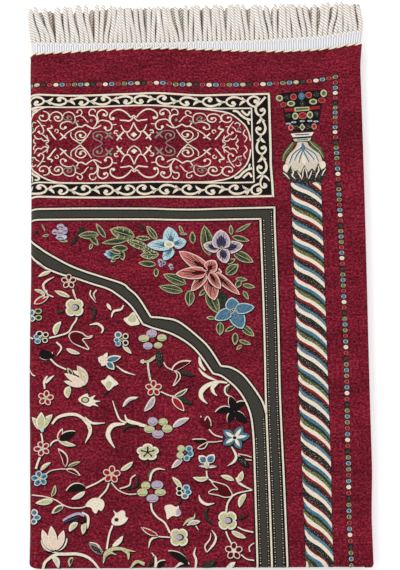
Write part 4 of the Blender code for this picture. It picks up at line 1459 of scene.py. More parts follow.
# Stems by yarn: width or widths, then the spine
FIELD_STEMS = {
    "ash": [((0.7, 1.7, 0.7), [(9.5, 233.5), (13.5, 236.5), (19, 241)])],
    "blush": [
        ((0.7, 2.6, 2.6, 0.7), [(27.5, 249), (19.5, 253.5), (16.5, 259), (21.5, 269.5)]),
        ((1.7, 1.7, 0.4), [(65, 263.5), (64.5, 269), (70.5, 277)]),
        ((1.7, 1.7, 0.4), [(71, 263.5), (68, 268), (70, 274)]), (1.5, [(20, 263), (21, 267.5), (27, 270.5)]),
        (1.2, [(18.5, 456), (24.5, 452), (33, 450.5), (39, 450.5)]),
        (1.4, [(84.5, 464.5), (91, 472), (100.5, 476.5), (110, 476.5)]),
        (1.6, [(93, 471), (102.5, 467.5), (104.5, 460.5), (109, 457)]),
        (1.4, [(5.5, 476.5), (18.5, 478.5), (29, 482), (36.5, 487), (44.5, 490), (55, 490), (59.5, 488)]),
        (1.4, [
            (43, 312.5), (44.5, 309), (49.5, 307.5), (56, 309), (61.5, 313), (67, 312), (64, 314.5), (57, 315.5),
            (59.5, 320), (63.5, 326.5), (56, 324), (47, 319), (43, 312.5),
        ]),
        (1.4, [(139, 341), (142, 346), (147, 348.5), (151, 348.5)]),
        (1.2, [(149.5, 349.5), (152.5, 354), (151, 359.5), (148, 366), (155, 358.5), (155, 353), (151, 349.5)]),
        (1.6, [(183.5, 411), (188.5, 416.5), (197, 419.5)]), (1.2, [(196.5, 423), (189.5, 424), (181, 424)]),
        (1.4, [(175.5, 397), (176.5, 400.5), (179, 402), (182, 397.5), (185, 402), (185.5, 407.5)]),
        (1.2, [(181.5, 424), (177.5, 426), (171.5, 430.5), (178, 430.5), (182, 425)]),
        (1.1, [(101, 476.5), (110, 476.5)]),
        (1.2, [
            (185.5, 464), (191, 465.5), (199.5, 468.5), (203.5, 473.5), (205, 479), (198.5, 480.5), (191.5, 478.5),
            (181.5, 476), (186, 472.5), (191, 472.5), (186.5, 467.5), (184.5, 464),
        ]),
        ((0.7, 1.6, 1.8, 1.4), [(183, 516.5), (182, 522.5), (177, 529.5), (178.5, 535.5)]),
        ((1.4, 1.4, 0.9), [(221.5, 535.5), (221, 530.5), (226, 526.5)]),
        (1.2, [(212, 436.5), (220, 438), (225.5, 440)]), (1.2, [(212, 438), (219, 442), (225.5, 443)]),
    ],
    "ivory": [
        (1.6, [(46, 259), (48, 266.5), (50.5, 274)]), (1.7, [(46.5, 263), (48.5, 269), (50.5, 273.5)]),
        (1.8, [(50.5, 288), (50.5, 294.5), (46.5, 301), (42.5, 308), (33.5, 311.5), (23, 314)]),
        (1.8, [(24.5, 336), (31, 342.5), (40.5, 347.5)]), (1.5, [(49, 363.5), (44.5, 365)]),
        ((0.9, 2.2, 0.7), [(91, 344), (99, 350), (110, 354)]), (2.2, [(123, 341.5), (123.5, 349), (125.5, 360.5)]),
        ((0.9, 2, 2), [(87, 380.5), (90, 390.5), (94, 400), (100.5, 403.5)]),
        ((2.3, 4.1, 3.7, 3.7), [
            (26, 404), (31.5, 397.5), (40.5, 394.5), (49.5, 394.5), (55.5, 397.5), (61, 402.5), (63.5, 410),
        ]),
        ((3.7, 3.2, 0.7), [(58.5, 398), (66.5, 403.5), (79, 403.5)]),
        ((0.9, 4.9, 4.9, 3.6), [(99, 395), (101.5, 401), (109.5, 404), (121, 407.5)]),
        ((2, 2, 0.4), [(30.5, 318.5), (35.5, 324.5), (31, 333)]),
        ((0.9, 2.8, 3.3, 1.3), [(64, 300.5), (72, 299.5), (77.5, 304.5), (76, 309.5)]),
        ((1.3, 2.4, 2.8, 0.9), [(98.5, 280), (96, 284.5), (88.5, 286.5), (86, 293)]),
        ((1.5, 2.8, 1.8), [(19, 367.5), (18.5, 360), (21.5, 354)]),
        ((2.8, 3.7, 0.7), [(20, 361), (24.5, 356.5), (28.5, 353.5)]), (1.5, [(3, 312), (7.5, 314.5)]),
        (1.3, [(-0.5, 342), (7, 352), (10, 353.5)]), ((0.9, 2.8, 3.7), [(119, 338), (116, 339.5), (119, 341)]),
        (1.8, [(15, 413.5), (16, 419.5), (16.5, 423)]), (1.8, [(23, 427.5), (26.5, 422.5), (31.5, 420.5)]),
        (2, [(16, 434.5), (12.5, 441), (10, 450)]),
        ((3.9, 4.9, 3.9, 0.6), [(56.5, 398), (63, 406), (64, 413), (59, 424)]),
        ((2, 6.1, 5.9, 0.8), [(99, 404.5), (87, 406), (82, 413.5), (83.5, 421), (88.5, 429.5)]),
        (1.8, [(79, 459.5), (70, 465), (59, 470)]), (1.8, [(82.5, 464.5), (79.5, 472), (72, 480.5)]),
        ((1.4, 3.2, 3, 0.8), [(55, 494.5), (61, 499), (60.5, 508.5), (56, 517)]),
        (2, [(85.5, 508), (82, 517.5), (79.5, 532)]),
        ((2.6, 3.9, 3.9, 3.6, 1.2), [
            (15, 553.5), (19, 544), (29, 537), (39.5, 536.5), (50.5, 536.5), (61, 540), (69, 547), (76, 553),
        ]),
        (1.8, [(14, 334), (19.5, 336.5), (26, 334), (26, 329)]),
        ((1, 1.6, 1.6), [(62.5, 525), (70, 527), (75.5, 535)]),
        ((1, 2.6, 2.8, 1), [(15, 521.5), (18.5, 531.5), (31, 535)]),
        (1.9, [(123, 343), (123.5, 350), (125.5, 360.5)]), (1.4, [(135.5, 371.5), (144, 375.5), (149.5, 376.5)]),
        ((1.1, 4.4, 4, 1.8), [(175, 335.5), (176.5, 343.5), (181, 350)]),
        ((1.1, 4, 3.5, 0.7), [(174.5, 347.5), (178, 352.5), (184, 357), (193.5, 361)]),
        ((1.8, 3.5, 5.5, 6.5, 5.3, 0.9), [
            (203, 363), (193.5, 362), (183, 365.5), (176.5, 372), (177, 379), (182.5, 384.5),
        ]),
        ((1.2, 5.3, 4.4, 0.7), [(194.5, 362.5), (188, 367.5), (189, 373), (192.5, 376.5)]),
        ((1.8, 1.9, 1.8), [(205, 364.5), (200.5, 368.5), (201, 374), (204, 376.5)]),
        ((0.7, 2.3, 2.6, 2.1), [(138.5, 452), (131.5, 451), (125.5, 454.5), (123, 463.5)]),
        (2.1, [(124, 485), (125, 493), (130, 500), (137.5, 506), (142.5, 516)]),
        (1.6, [(180, 453.5), (181, 460.5), (187, 465)]), ((1.9, 2.1), [(205.5, 479), (200.5, 486.5), (198.5, 497)]),
        ((1.9, 1.4, 1.2), [(205.5, 479), (212, 476), (225, 473.5)]),
        ((1.2, 1.8, 3.2, 3.5), [(225.5, 473.5), (218.5, 470), (212.5, 466), (210, 460.5)]),
        ((0.9, 3.2, 3.5, 0.7), [(205.5, 428.5), (210, 438), (208, 444), (201.5, 448.5)]),
        ((0.7, 4, 3.5, 0.7), [(172, 478), (173.5, 483.5), (179.5, 487.5), (187, 486.5)]),
        ((1.6, 1.8, 0.5), [(159.5, 508), (167, 508), (171, 513.5)]),
        (1.6, [(209, 510), (215.5, 513.5), (225.5, 516)]), (1.6, [(197.5, 511.5), (199.5, 519), (203.5, 527.5)]),
        (1.4, [(212.5, 538), (218, 542.5), (225.5, 544)]), (1.4, [(143, 520.5), (136.5, 520), (130.5, 519.5)]),
        ((1.4, 2.5, 0.7), [(131, 519.5), (123.5, 522.5), (121, 531)]),
        ((0.7, 2.3, 2.5, 0.7), [(184, 513.5), (188, 520), (186, 527), (179, 535.5)]),
        ((0.7, 2.3, 1.8), [(145.5, 550), (153, 546), (161.5, 546)]),
        ((0.5, 2.3, 2.6, 2.1), [(168, 530.5), (166, 537), (168, 543), (167, 551)]),
        ((0.7, 3.2, 2.3), [(124, 535.5), (128, 541.5), (127.5, 549)]),
    ],
    "lime": [
        ((1.8, 3.9, 2.8), [(116, 339.5), (123, 340), (128, 337), (133, 332.5)]),
        ((1, 4.9, 4.5, 3.5, 0.6), [(76, 546), (78.5, 536.5), (85, 532), (93.5, 531.5), (100, 533), (108, 534.5)]),
        ((2, 3, 0.8), [(77.5, 539.5), (83, 535.5), (89, 537.5)]),
        ((1.6, 4.5, 1.2), [(94.5, 532.5), (100.5, 536), (101, 542.5)]),
        ((0.7, 2.8, 3, 0.7), [(155.5, 509), (160.5, 503.5), (166.5, 501), (167.5, 497)]),
        ((0.9, 4, 2.6), [(102, 550), (109, 544.5), (117, 546.5)]),
    ],
    "moss": [
        ((1.5, 3.7, 3.3, 0.9), [(63, 280.5), (69, 284.5), (68, 291), (66.5, 296.5)]),
        (0.9, [(59.5, 365.5), (62.5, 372)]), (0.9, [(78.5, 373.5), (83.5, 370)]),
        ((1, 2.6, 1.2), [(113, 406.5), (103.5, 406.5), (96.5, 411.5)]),
        ((0.8, 2.4, 0.8), [(110.5, 458.5), (110, 467.5), (100.5, 471.5)]), (1.6, [(102, 407), (109, 406)]),
        (1.1, [(121.5, 443), (121, 447.5)]), (1.1, [(154, 482), (151.5, 487)]),
        ((0.7, 3.5, 3.2, 0.7), [(181.5, 490.5), (178, 496), (180, 502.5), (185, 508)]),
        (1.1, [(152.5, 528.5), (155, 536), (161.5, 546)]),
        ((0.7, 2.3, 0.7), [(127, 538.5), (125, 544.5), (120.5, 548)]),
    ],
    "lilac": [((2, 3.4, 3.5, 3), [(36, 503), (42.5, 499), (51, 496), (57.5, 498)])],
    "violet": [(1.3, [(37, 505), (43.5, 502), (51, 499.5)])],
    "red": [((0.6, 2.4, 2.4, 0.6), [(24, 517.5), (21.5, 525.5), (32, 532.5)])],
    "black": [((0.8, 2.2, 0.8), [(42, 504), (47, 504), (52, 503)])],
    "green": [
        ((0.7, 2.6, 0.7), [(205.5, 366.5), (203, 369.5), (203, 373)]),
        ((0.7, 3, 0.9), [(126.5, 451.5), (122.5, 455.5), (122, 461)]),
    ],
}
# Leaves by rim and body: base, tip, width and bend
FIELD_LEAVES = {
    ("ivory", "lime"): [
        ((24, 243), (11.5, 248.5), 4.2, 0.04), ((18.5, 268), (8, 262), 4, 0.05),
        ((44, 271), (28.5, 263.5), 3.8, 0.03), ((44, 365), (42, 377.5), 6.9, 0.12),
        ((97.5, 322.5), (106.5, 331.5), 4.1, 0), ((40.5, 325.5), (54.5, 331), 4.4, 0.05),
        ((29, 311), (35, 296.5), 6.4, -0.12), ((28, 263.5), (44, 271), 3.7, 0.03),
        ((31.5, 420.5), (49.5, 426.5), 4.7, 0.06), ((14, 452), (24.5, 443.5), 3.9, -0.08),
        ((94, 452.5), (106.5, 443.5), 4.9, 0.05), ((26.5, 482.5), (9.5, 485), 6.5, 0),
        ((51, 505), (42.5, 514), 5.9, 0.1), ((57.5, 504), (56, 517), 5.2, 0), ((180.5, 451.5), (180, 442), 5.3, 0),
        ((182, 460.5), (166, 460), 4.8, -0.12), ((207.5, 463.5), (194, 458.5), 4.9, 0.04),
        ((211.5, 465), (216, 454), 5.8, 0.04), ((219, 477), (212, 491), 6, 0.1),
        ((155, 471), (145.5, 459.5), 4.9, 0.04), ((203.5, 514.5), (218, 521.5), 5.3, 0.04),
    ],
    ("blush", "red"): [
        ((8, 277), (18.5, 268), 4.5, 0), ((8, 277.5), (22.5, 269.5), 5.2, 0.04), ((31.5, 420), (36.5, 408.5), 4.9, 0),
        ((130, 519), (113.5, 510), 4.9, 0), ((147, 377), (159, 392), 8.1, 0),
        ((130.5, 518.5), (113.5, 510), 5.5, -0.04),
    ],
    ("lime", "moss"): [((47, 354), (41.5, 345.5), 4.5, 0), ((46, 539.5), (42.5, 548), 4.5, 0.1)],
    ("ivory", "ivory"): [
        ((56, 354), (47, 348.5), 3.7, 0), ((78.5, 336.5), (82, 330), 4.1, 0), ((81.5, 278), (86, 285.5), 3.2, 0),
        ((85, 529.5), (96, 518.5), 4.7, 0.06), ((197, 551), (207, 545.5), 4, 0),
    ],
    ("ivory", "blue"): [
        ((80, 338.5), (96, 334.5), 7.2, 0), ((81, 339), (89, 348), 7.2, 0), ((180, 445), (172.5, 438), 8.1, 0),
        ((180.5, 445), (188.5, 437), 8.5, 0),
    ],
    ("ivory", "blush"): [((81, 339.5), (72.5, 335.5), 8.7, 0)],
    ("blush", "ivory"): [((80.5, 338.5), (76, 344), 5.5, 0)],
    ("ivory", "lilac"): [
        ((97, 387), (113, 377), 4, -0.16), ((129.5, 377), (118.5, 392), 5.3, -0.08),
        ((129, 376), (118.5, 391.5), 5.5, -0.05), ((147, 408.5), (164, 399), 6.2, -0.05),
        ((156.5, 440), (145, 450.5), 5.5, 0), ((160.5, 506.5), (173, 504.5), 4.8, 0),
    ],
    ("lime", "green"): [
        ((9, 262.5), (18.5, 267.5), 3.1, 0), ((41.5, 447.5), (54, 443), 3.4, 0),
        ((25, 478.5), (28.5, 466.5), 4.1, 0.08),
    ],
    ("moss", "moss"): [
        ((30, 286.5), (37.5, 285.5), 2.4, 0), ((154.5, 350.5), (169.5, 355), 4, 0),
        ((151, 377), (167.5, 384.5), 4.6, 0), ((210.5, 502.5), (219.5, 499), 2.5, 0),
        ((174, 549), (188, 544.5), 4.4, 0),
    ],
    ("ivory", "black"): [
        ((32.5, 420.5), (49.5, 412), 8.7, 0), ((59, 469.5), (39.5, 473), 8.4, 0.1),
        ((209, 392), (205, 376.5), 8.4, 0.05), ((209, 392.5), (220.5, 382.5), 7.7, -0.08),
        ((209.5, 392.5), (222.5, 404), 9.2, 0.05), ((209, 392.5), (202.5, 404), 7.5, 0),
        ((209, 392.5), (190, 393.5), 7.2, 0.12), ((181.5, 422.5), (166.5, 421.5), 4.6, -0.08),
        ((160, 546.5), (140.5, 534), 7.7, 0.04), ((128.5, 549), (138, 543.5), 5.3, 0),
    ],
    ("blush", "wine"): [
        ((39, 448.5), (31.5, 429), 6.5, 0.14), ((39, 450.5), (54, 457.5), 4.9, -0.08),
        ((146.5, 349.5), (167, 339.5), 7.5, -0.06),
    ],
    ("ivory", "pale"): [((58.5, 473.5), (44.5, 481.5), 4.9, -0.05), ((26, 538.5), (32, 549), 5.9, -0.1)],
    ("ivory", "green"): [((37, 487.5), (25, 495.5), 5.9, 0.03), ((149, 376.5), (163, 368.5), 4.6, 0.06)],
    ("ash", "speckle"): [((75.5, 537), (61.5, 526), 6.5, 0)],
    ("speckle", "speckle"): [((133.5, 327.5), (135, 345.5), 7, 0)],
    ("lilac", "ivory"): [((181, 450), (172, 449), 2.6, 0.1), ((181.5, 450.5), (190.5, 449.5), 3, -0.1)],
    ("black", "speckle"): [((212, 439), (222, 450), 6.7, 0)],
}
# Petals' yarn, heart, centre, reach, turn
RINGED_FLOWERS = (
    ("wine", "lime", (42.5, 254), 8, -90), ("red", "lime", (20, 377), 8.1, -80),
    ("red", "ice", (16, 429.5), 7.9, -110), ("red", "lime", (85, 456.5), 9.1, -85),
    ("red", "lime", (128.5, 368), 8.6, -90), ("wine", "ivory", (205.5, 534.5), 9, -88),
)
# Centre, reach
FOUR_PETALLED = (((48.5, 282), 10.3), ((200, 504), 10.4), ((151.5, 520.5), 9.9))
# Centre, then each petal's yarn, middle and size
POSIES = (
    ((128, 317.5), (
        ("lilac", (127, 310.5), (5.5, 4.4)), ("lime", (119, 315.5), (5.5, 3.7)), ("lime", (137.5, 315), (4.9, 3.7)),
        ("lilac", (123, 323.5), (4.9, 3.8)), ("lime", (133.5, 323), (4.4, 3.2)),
    )),
    ((132.5, 409), (
        ("lilac", (127, 402.5), (5.1, 4.4)), ("lime", (137.5, 403), (4.8, 3.8)), ("lime", (123.5, 410.5), (5.5, 3.7)),
        ("lime", (141.5, 410), (5.3, 4.1)), ("lilac", (132, 415.5), (5.8, 4.4)),
    )),
    ((124, 474), (
        ("lime", (119, 468), (4.6, 4.1)), ("lilac", (130.5, 467.5), (6, 4.4)), ("lime", (115.5, 475), (5.3, 4)),
        ("lime", (133.5, 475), (5.6, 3.5)), ("lilac", (125.5, 481), (6, 4.2)),
    )),
)
# Small discs by rim and heart: centre and size
BUTTONS = {
    ("ivory", "black"): [
        ((13.5, 309.5), (3.5, 3.3)), ((19.5, 310.5), (3.3, 3.1)), ((19, 316.5), (3.1, 2.9)),
        ((100.5, 313), (3.3, 3.3)), ((100.5, 320), (3.3, 3.3)), ((152.5, 471.5), (3.5, 3)), ((152.5, 476), (3.5, 3)),
    ],
    ("ice", "blue"): [
        ((11, 312.5), (3.1, 3.1)), ((12, 317.5), (3.1, 2.8)), ((91.5, 317), (3.3, 3.1)), ((93, 321), (3.1, 2.9)),
        ((5.5, 286.5), (3.7, 3.7)), ((163, 431), (3.9, 3.7)), ((164, 436), (3.7, 3.7)), ((160.5, 440.5), (3.5, 3.3)),
        ((159.5, 470.5), (4, 3.3)), ((161, 475), (3.9, 3.3)), ((11, 499.5), (3.4, 3)),
    ],
    ("lime", "green"): [((15.5, 314), (2, 2)), ((96.5, 317), (2.2, 2.2))],
    ("ivory", "blue"): [
        ((93, 311.5), (3.9, 3.7)), ((6.5, 293), (3.1, 3.3)), ((8.5, 494.5), (3.5, 3.7)), ((8, 503.5), (3.4, 3.2)),
    ],
    ("lime", "moss"): [((12, 285.5), (3.5, 3.1)), ((12.5, 292.5), (3.3, 3.1)), ((156, 473.5), (1.9, 1.9))],
    ("lime", "lime"): [((155, 430.5), (4, 3.7)), ((154, 437.5), (3.9, 3.7))],
    ("moss", "speckle"): [((159.5, 435), (2.6, 2.5))],
    ("ivory", "steel"): [((158, 479), (4, 3.3))],
    ("ice", "ice"): [((16, 409), (2, 3.7))],
    ("black", "wine"): [((55, 502.5), (3.3, 3.5))],
    ("moss", "lime"): [((59.5, 379.5), (4.4, 3.4))],
    ("moss", "moss"): [((89.5, 502.5), (2.4, 2.2))],
}
# Rim, body, base, then each petal's tip, width and bend, the lowest first
FANS = (
    ("ivory", "blush", (27.5, 533), (
        ((14.5, 522.5), 6, -0.1), ((40.8, 520.5), 6.5, 0.08), ((15.8, 511.5), 8, -0.08), ((37, 512.5), 8, 0.06),
        ((24.5, 508), 9, 0),
    )),
    ("ice", "blue", (28.5, 531), (((26.5, 521), 4.6, 0),)),
    ("ivory", "lime", (14.5, 410.5), (((6.5, 396.5), 6, 0.06), ((26.5, 394), 7.6, -0.06), ((15.5, 391.5), 8.6, 0))),
    ("ivory", "blush", (59.5, 364), (((38, 359.5), 6, -0.05), ((38.5, 351.5), 7, 0))),
    ("blush", "lime", (59.5, 364), (((51.5, 343.5), 9, 0.1), ((56, 350), 4, 0.1))),
)
# Outlines by yarn
PATCHES = {
    "black": [[(13.5, 333), (15.5, 326.5), (21.5, 327.5), (26, 329.5), (26.5, 333.5), (20, 336)]],
    "ivory": [
        [
            (52.5, 379), (57.5, 374.5), (62, 373), (63.5, 377), (70, 374.5), (67.5, 379), (75, 381), (69, 382.5),
            (73, 386.5), (67, 385), (64, 386.5), (57.5, 384),
        ],
        [(83.5, 354), (88.5, 358), (93, 363), (88.5, 365.5), (83, 370), (79.5, 365.5), (75.5, 360), (80, 358)],
        [
            (108.5, 287.5), (111.5, 292.5), (115, 300), (110.5, 301.5), (106, 302), (101.5, 299), (98.5, 294.5),
            (103, 292.5),
        ],
        [
            (58.5, 488.5), (62.5, 482.5), (69, 480), (76, 482.5), (77.5, 488), (74.5, 493.5), (71.5, 492),
            (69.5, 496), (66.5, 494.5), (64, 490),
        ],
        [
            (86, 492.5), (90, 495.5), (94.5, 493), (98, 494.5), (98.5, 499.5), (101, 500.5), (98.5, 505), (93, 508),
            (86, 507.5), (84.5, 502.5), (88, 497.5),
        ],
        [
            (137.5, 489.5), (143.5, 487.5), (149, 490), (151.5, 488.5), (152, 494), (154, 496.5), (150.5, 499.5),
            (145, 499), (140, 502.5), (139, 496.5),
        ],
    ],
    "lime": [
        [(83.5, 360), (86.5, 363), (83, 368.5), (80, 363.5)],
        [(108.5, 289.5), (111.5, 296.5), (107.5, 299), (103, 295)],
    ],
    "lilac": [[(151.5, 491.5), (154, 496.5), (150, 498.5), (148.5, 495)]],
    "wine": [
        [(44, 312.5), (47, 308.5), (52, 308.5), (57.5, 312.5), (55, 315.5), (59.5, 321), (52.5, 321), (46, 317.5)],
        [
            (176, 398.5), (180, 402.5), (182, 399.5), (184.5, 403), (184, 408), (181, 409.5), (177, 406.5),
            (174.5, 403),
        ],
        [(187.5, 466), (198.5, 469), (203, 474.5), (202.5, 478.5), (196.5, 478.5), (192.5, 477), (192, 472)],
    ],
}

# A figure's dark edge, to its lower right, is partly black outline yarn and partly painted shadow.
SHADOW = np.array([0.55, 0.9])  # how far a figure's dark edge lies from it


def shaded_stroke(yarn, spine, width, level):
    """A stem with a dark edge. A broad one keeps less of its own yarn."""
    width = np.asarray(width, float)
    width = width * np.where(width > 3, 0.76, 0.88)
    loom.stroke("black", np.add(spine, SHADOW), width + 1.0, level - 1)
    loom.stroke(yarn, spine, width, level)


def field_leaf(rim, body, base, tip, width, bend=0.0, level=4):
    """A leaf or petal with a rim and a body, and a dark edge on its shaded side."""
    base, tip, _, unit, _ = axes(base, tip)
    if body == "black":
        loom.petal(rim, base - SHADOW * 0.5, tip - SHADOW * 0.6, width, level, bend, blunt=0.4)
        loom.petal(body, base + SHADOW * 0.4, tip + SHADOW * 0.5, width - 0.3, level + 1, bend, blunt=0.4)
        return
    loom.petal("black", base + SHADOW, tip + SHADOW + unit, width + 0.9, level - 1, bend, blunt=0.4)
    loom.petal(rim, base, tip, width, level, bend, blunt=0.4)
    if body != rim:
        inner = max(width - 2.1, width * 0.45)
        start, stop = base + unit * 1.3 + SHADOW * 0.4, tip - unit * 2 + SHADOW * 0.4
        loom.petal(body, start, stop, inner, level + 0.6, bend, blunt=0.4)


def fan(rim, body, base, petals):
    """Petals that spring from one base, each over the one before it."""
    for number, (tip, width, bend) in enumerate(petals):
        field_leaf(rim, body, base, tip, width, bend, 4 + 1.2 * number)


def rosette(yarn, centre, reach, lobes, turn, depth, level):
    """A flower's outline of round lobes, with notches between them that come in by the share depth."""
    angle = np.linspace(0, 2 * np.pi, 12 * lobes, endpoint=False)
    radius = 1 - depth + depth * np.abs(np.sin(lobes * angle / 2)) ** 0.6
    angle = angle + math.radians(turn)
    rim = np.stack([np.cos(angle) * radius, np.sin(angle) * radius], -1) * reach
    loom.fill(yarn, rim + centre, level, straight=True)


def ringed_flower(yarn, heart, centre, reach, turn, rim="blush"):
    """Five oval petals, each outlined in a pale yarn, about a small heart."""
    size = reach * 0.42
    oval = np.array([size, size * 0.86])
    for angle in range(turn, turn + 360, 72):
        middle = spun([(reach * (1 - 0.42), 0.0)], centre, angle)[0]
        edged_disc(rim, middle, oval, 5, SHADOW, 0.4, angle)
        loom.disc(yarn, middle, oval - 0.95, 6, angle)
        loom.stroke("wine", [centre, middle], 0.7, 7)
    loom.disc(heart, centre, reach * 0.22, 8)


def layered_rosette(centre, reach, lobes, turn, margins, depths):
    """A rosette in lime on ivory on black. margins widen the three, and depths are those of their notches."""
    layers = zip(("black", "ivory", "lime"), (SHADOW, 0, 0), margins, depths, (3, 5, 6))
    for yarn, shift, margin, depth, level in layers:
        rosette(yarn, centre + shift, reach + margin, lobes, turn, depth, level)


def four_petalled(centre, reach):
    """Four broad petals in a cross, with a lilac heart that is half ringed in black."""
    centre = np.asarray(centre, float)
    layered_rosette(centre, reach, 4, 0, (0.7, 0, -1.7), (0.26, 0.28, 0.36))
    loom.disc("black", centre + (0.9, 0), (reach * 0.4, reach * 0.34), 7)
    loom.disc("lilac", centre, (reach * 0.34, reach * 0.26), 8)


def five_petalled(centre, reach):
    """A broad flower in ivory and lime with a dark twig in each petal."""
    centre, reach = np.asarray(centre, float), np.asarray(reach, float)
    layered_rosette(centre, reach, 5, -126, (0.8, 0, -1.8), (0.24, 0.26, 0.32))
    for number in range(5):
        tip = spun([(0.62, 0.0)], (0, 0), -90 + 72 * number)[0] * reach + centre
        loom.stroke("black", [centre, tip], [1.4, 1.0, 1.8], 7, step=1.0)


def posy(centre, petals):
    """Loose oval petals, each ringed in black, about a red berry."""
    for yarn, middle, size in petals:
        loom.petal("black", centre, middle, 1.6, 4)
        edged_disc(yarn, middle, size, 5, (0.2, 0.3), 0.6)
        shade = "violet" if yarn == "lilac" else "green"
        reach = np.array(size) * (0.62, 0.6)
        crease = reach * [(-1, 0.7), (0, 1.1), (1, 0.7)]
        loom.stroke(shade, np.add(middle, crease), 0.5, 6, step=1.0)
    gem("black", "red", centre, (3.1, 3.1), 7, 0.76)


STAR_PETALS = ((-146, 1.05), (-54, 1.1), (-8, 1.2), (62, 0.98), (148, 1.02))  # turn and share of the reach


def star_flower(centre, reach):
    """A dark blue star of five pointed petals with pale ribs."""
    for number, (angle, share) in enumerate(STAR_PETALS):
        tip = spun([(reach * share, 0.0)], centre, angle)[0]
        level = 4 + 0.5 * number
        loom.petal("black", np.add(centre, SHADOW * 0.5), tip + SHADOW, reach * 0.78, level, blunt=0.1)
        loom.petal("blue", centre, tip, reach * 0.64, level + 0.4, blunt=0.1)
        loom.petal("ivory", centre, np.add(centre, np.subtract(tip, centre) * 0.8), reach * 0.24, 8)
    gem("ivory", "black", centre, (2.8, 2.6), 9, 0.68)


def weave_field():
    """Stems, leaves and flowers strewn over the ground beneath the arch."""
    for yarn, stems in FIELD_STEMS.items():
        for width, spine in stems:
            shaded_stroke(yarn, spine, width, 3)
    for (rim, body), leaves in FIELD_LEAVES.items():
        for row in leaves:
            field_leaf(rim, body, *row)
    for (rim, heart), buttons in BUTTONS.items():
        for centre, size in buttons:
            size = np.subtract(size, 0.2)
            loom.disc("black", centre + SHADOW, size + 0.5, 4)
            gem(rim, heart, centre, size, 6, 0.68)
    for yarn, outlines in PATCHES.items():
        for outline in outlines:
            loom.fill("black", outline + SHADOW, 5)
            loom.fill(yarn, outline, 6)
    flowers = ((ringed_flower, RINGED_FLOWERS), (four_petalled, FOUR_PETALLED), (posy, POSIES), (fan, FANS))
    for draw, rows in flowers:
        for row in rows:
            draw(*row)
    star_flower((209, 420), 13.2)
    ringed_flower("blue", "lime", (13.5, 460), 8.1, -100, "ice")
    five_petalled((121.5, 434), (11.4, 8.9))


# Painted shade: a wide wine stroke darkens the crimson where the cloth rolls over the lengthwise fold.
FOLD_PAINTED_SHADE = [(0.6, 3), (0.6, 548)]  # the darker crimson along the lengthwise fold
loom.stroke("wine", FOLD_PAINTED_SHADE, 6, -0.3)
weave_beads()
weave_frame()
weave_panel()
weave_shaft()
weave_capital()
weave_bulb()
weave_spray()
weave_field()

for yarn, values in YARNS.items():
    if yarn in loom.figures:
        loom.weave(yarn, figure_yarn(yarn, *values))


# ---------------------------------------------------------------- the fringes

STRAND_PITCH = RUG_WIDTH / STRANDS_ACROSS
STRAND_HALF_WIDTH = 2.62
STRAND_HALF_HEIGHT = 1.8
PLIES = 3
PLY_DEPTH = 0.15  # of a groove between plies, as a share of the radius
TWIST = 10.2  # the length in which a ply goes once round
STITCH_PITCH = 9.3
STITCH_LENGTH = 9.6
STITCH_HALF_WIDTH = 1.15
STITCH_HALF_HEIGHT = 0.9
STITCH_COUNT = 38
STITCH_SLANT = 2.0
ROOT_DEPTH = 3.5  # how far a strand reaches back into its tape
LEAN_SHARE = 0.62  # of the lean in the table, as the strands' bows add to it
STRAND_BOW = 0.7
STRAND_DRIFT = 0.5
FINE_STRAND = (12, 1.0)  # sides and the distance between rings
HIDDEN_STRAND = (6, 1.9)
STRAND_APART = 70  # keeps the fibres of two strands from being alike
CROWN_SCALE = 100  # a crown's loom coordinate, so that it is 1 in the material
STRAND_TIP = 0.07  # the share of a strand that tapers at its tip
TOP_FROM = -12.0  # the strands that lie on top reach from just round the fold to the selvedge
# Where the strands of the top layer leave their tape and where they end: across, beyond the cloth's end
ROOTS = ((0, 15), (34, 11.5), (76, 8.3), (117, 6.8), (150, 7.0), (182, 9.6), (235, 12.5), (278, 15.0), (350, 17.0))
TIPS = ((0, 51), (20, 54.5), (35, 52), (64, 55.5), (118, 48), (126, 50), (225, 53), (325, 53), (350, 46.5))
# How far the strands lean to the selvedge, for each millimetre of their length
LEANS = (
    (0, -0.17), (26, -0.36), (33, 0.0), (57, -0.22), (70, -0.1), (84, 0.18), (93, 0.1), (104, -0.15), (122, -0.12),
    (130, 0.12), (136, 0.1), (142, -0.2), (160, -0.3), (166, -0.05), (206, -0.05), (222, 0.0), (229, -0.2),
    (238, 0.15), (250, -0.3), (258, -0.2), (266, 0.08), (285, -0.15), (297, -0.15), (307, 0.2), (321, 0.26),
    (333, -0.1), (350, -0.2),
)


def ramble(number, seed):
    """An uneven value from -1 to 1 that is always the same for a number and a seed."""
    return 2 * (math.sin(number * 12.9898 + seed * 78.233) * 43758.5453 % 1.0) - 1


def table_at(table, across):
    return float(np.interp(across, *np.transpose(table)))


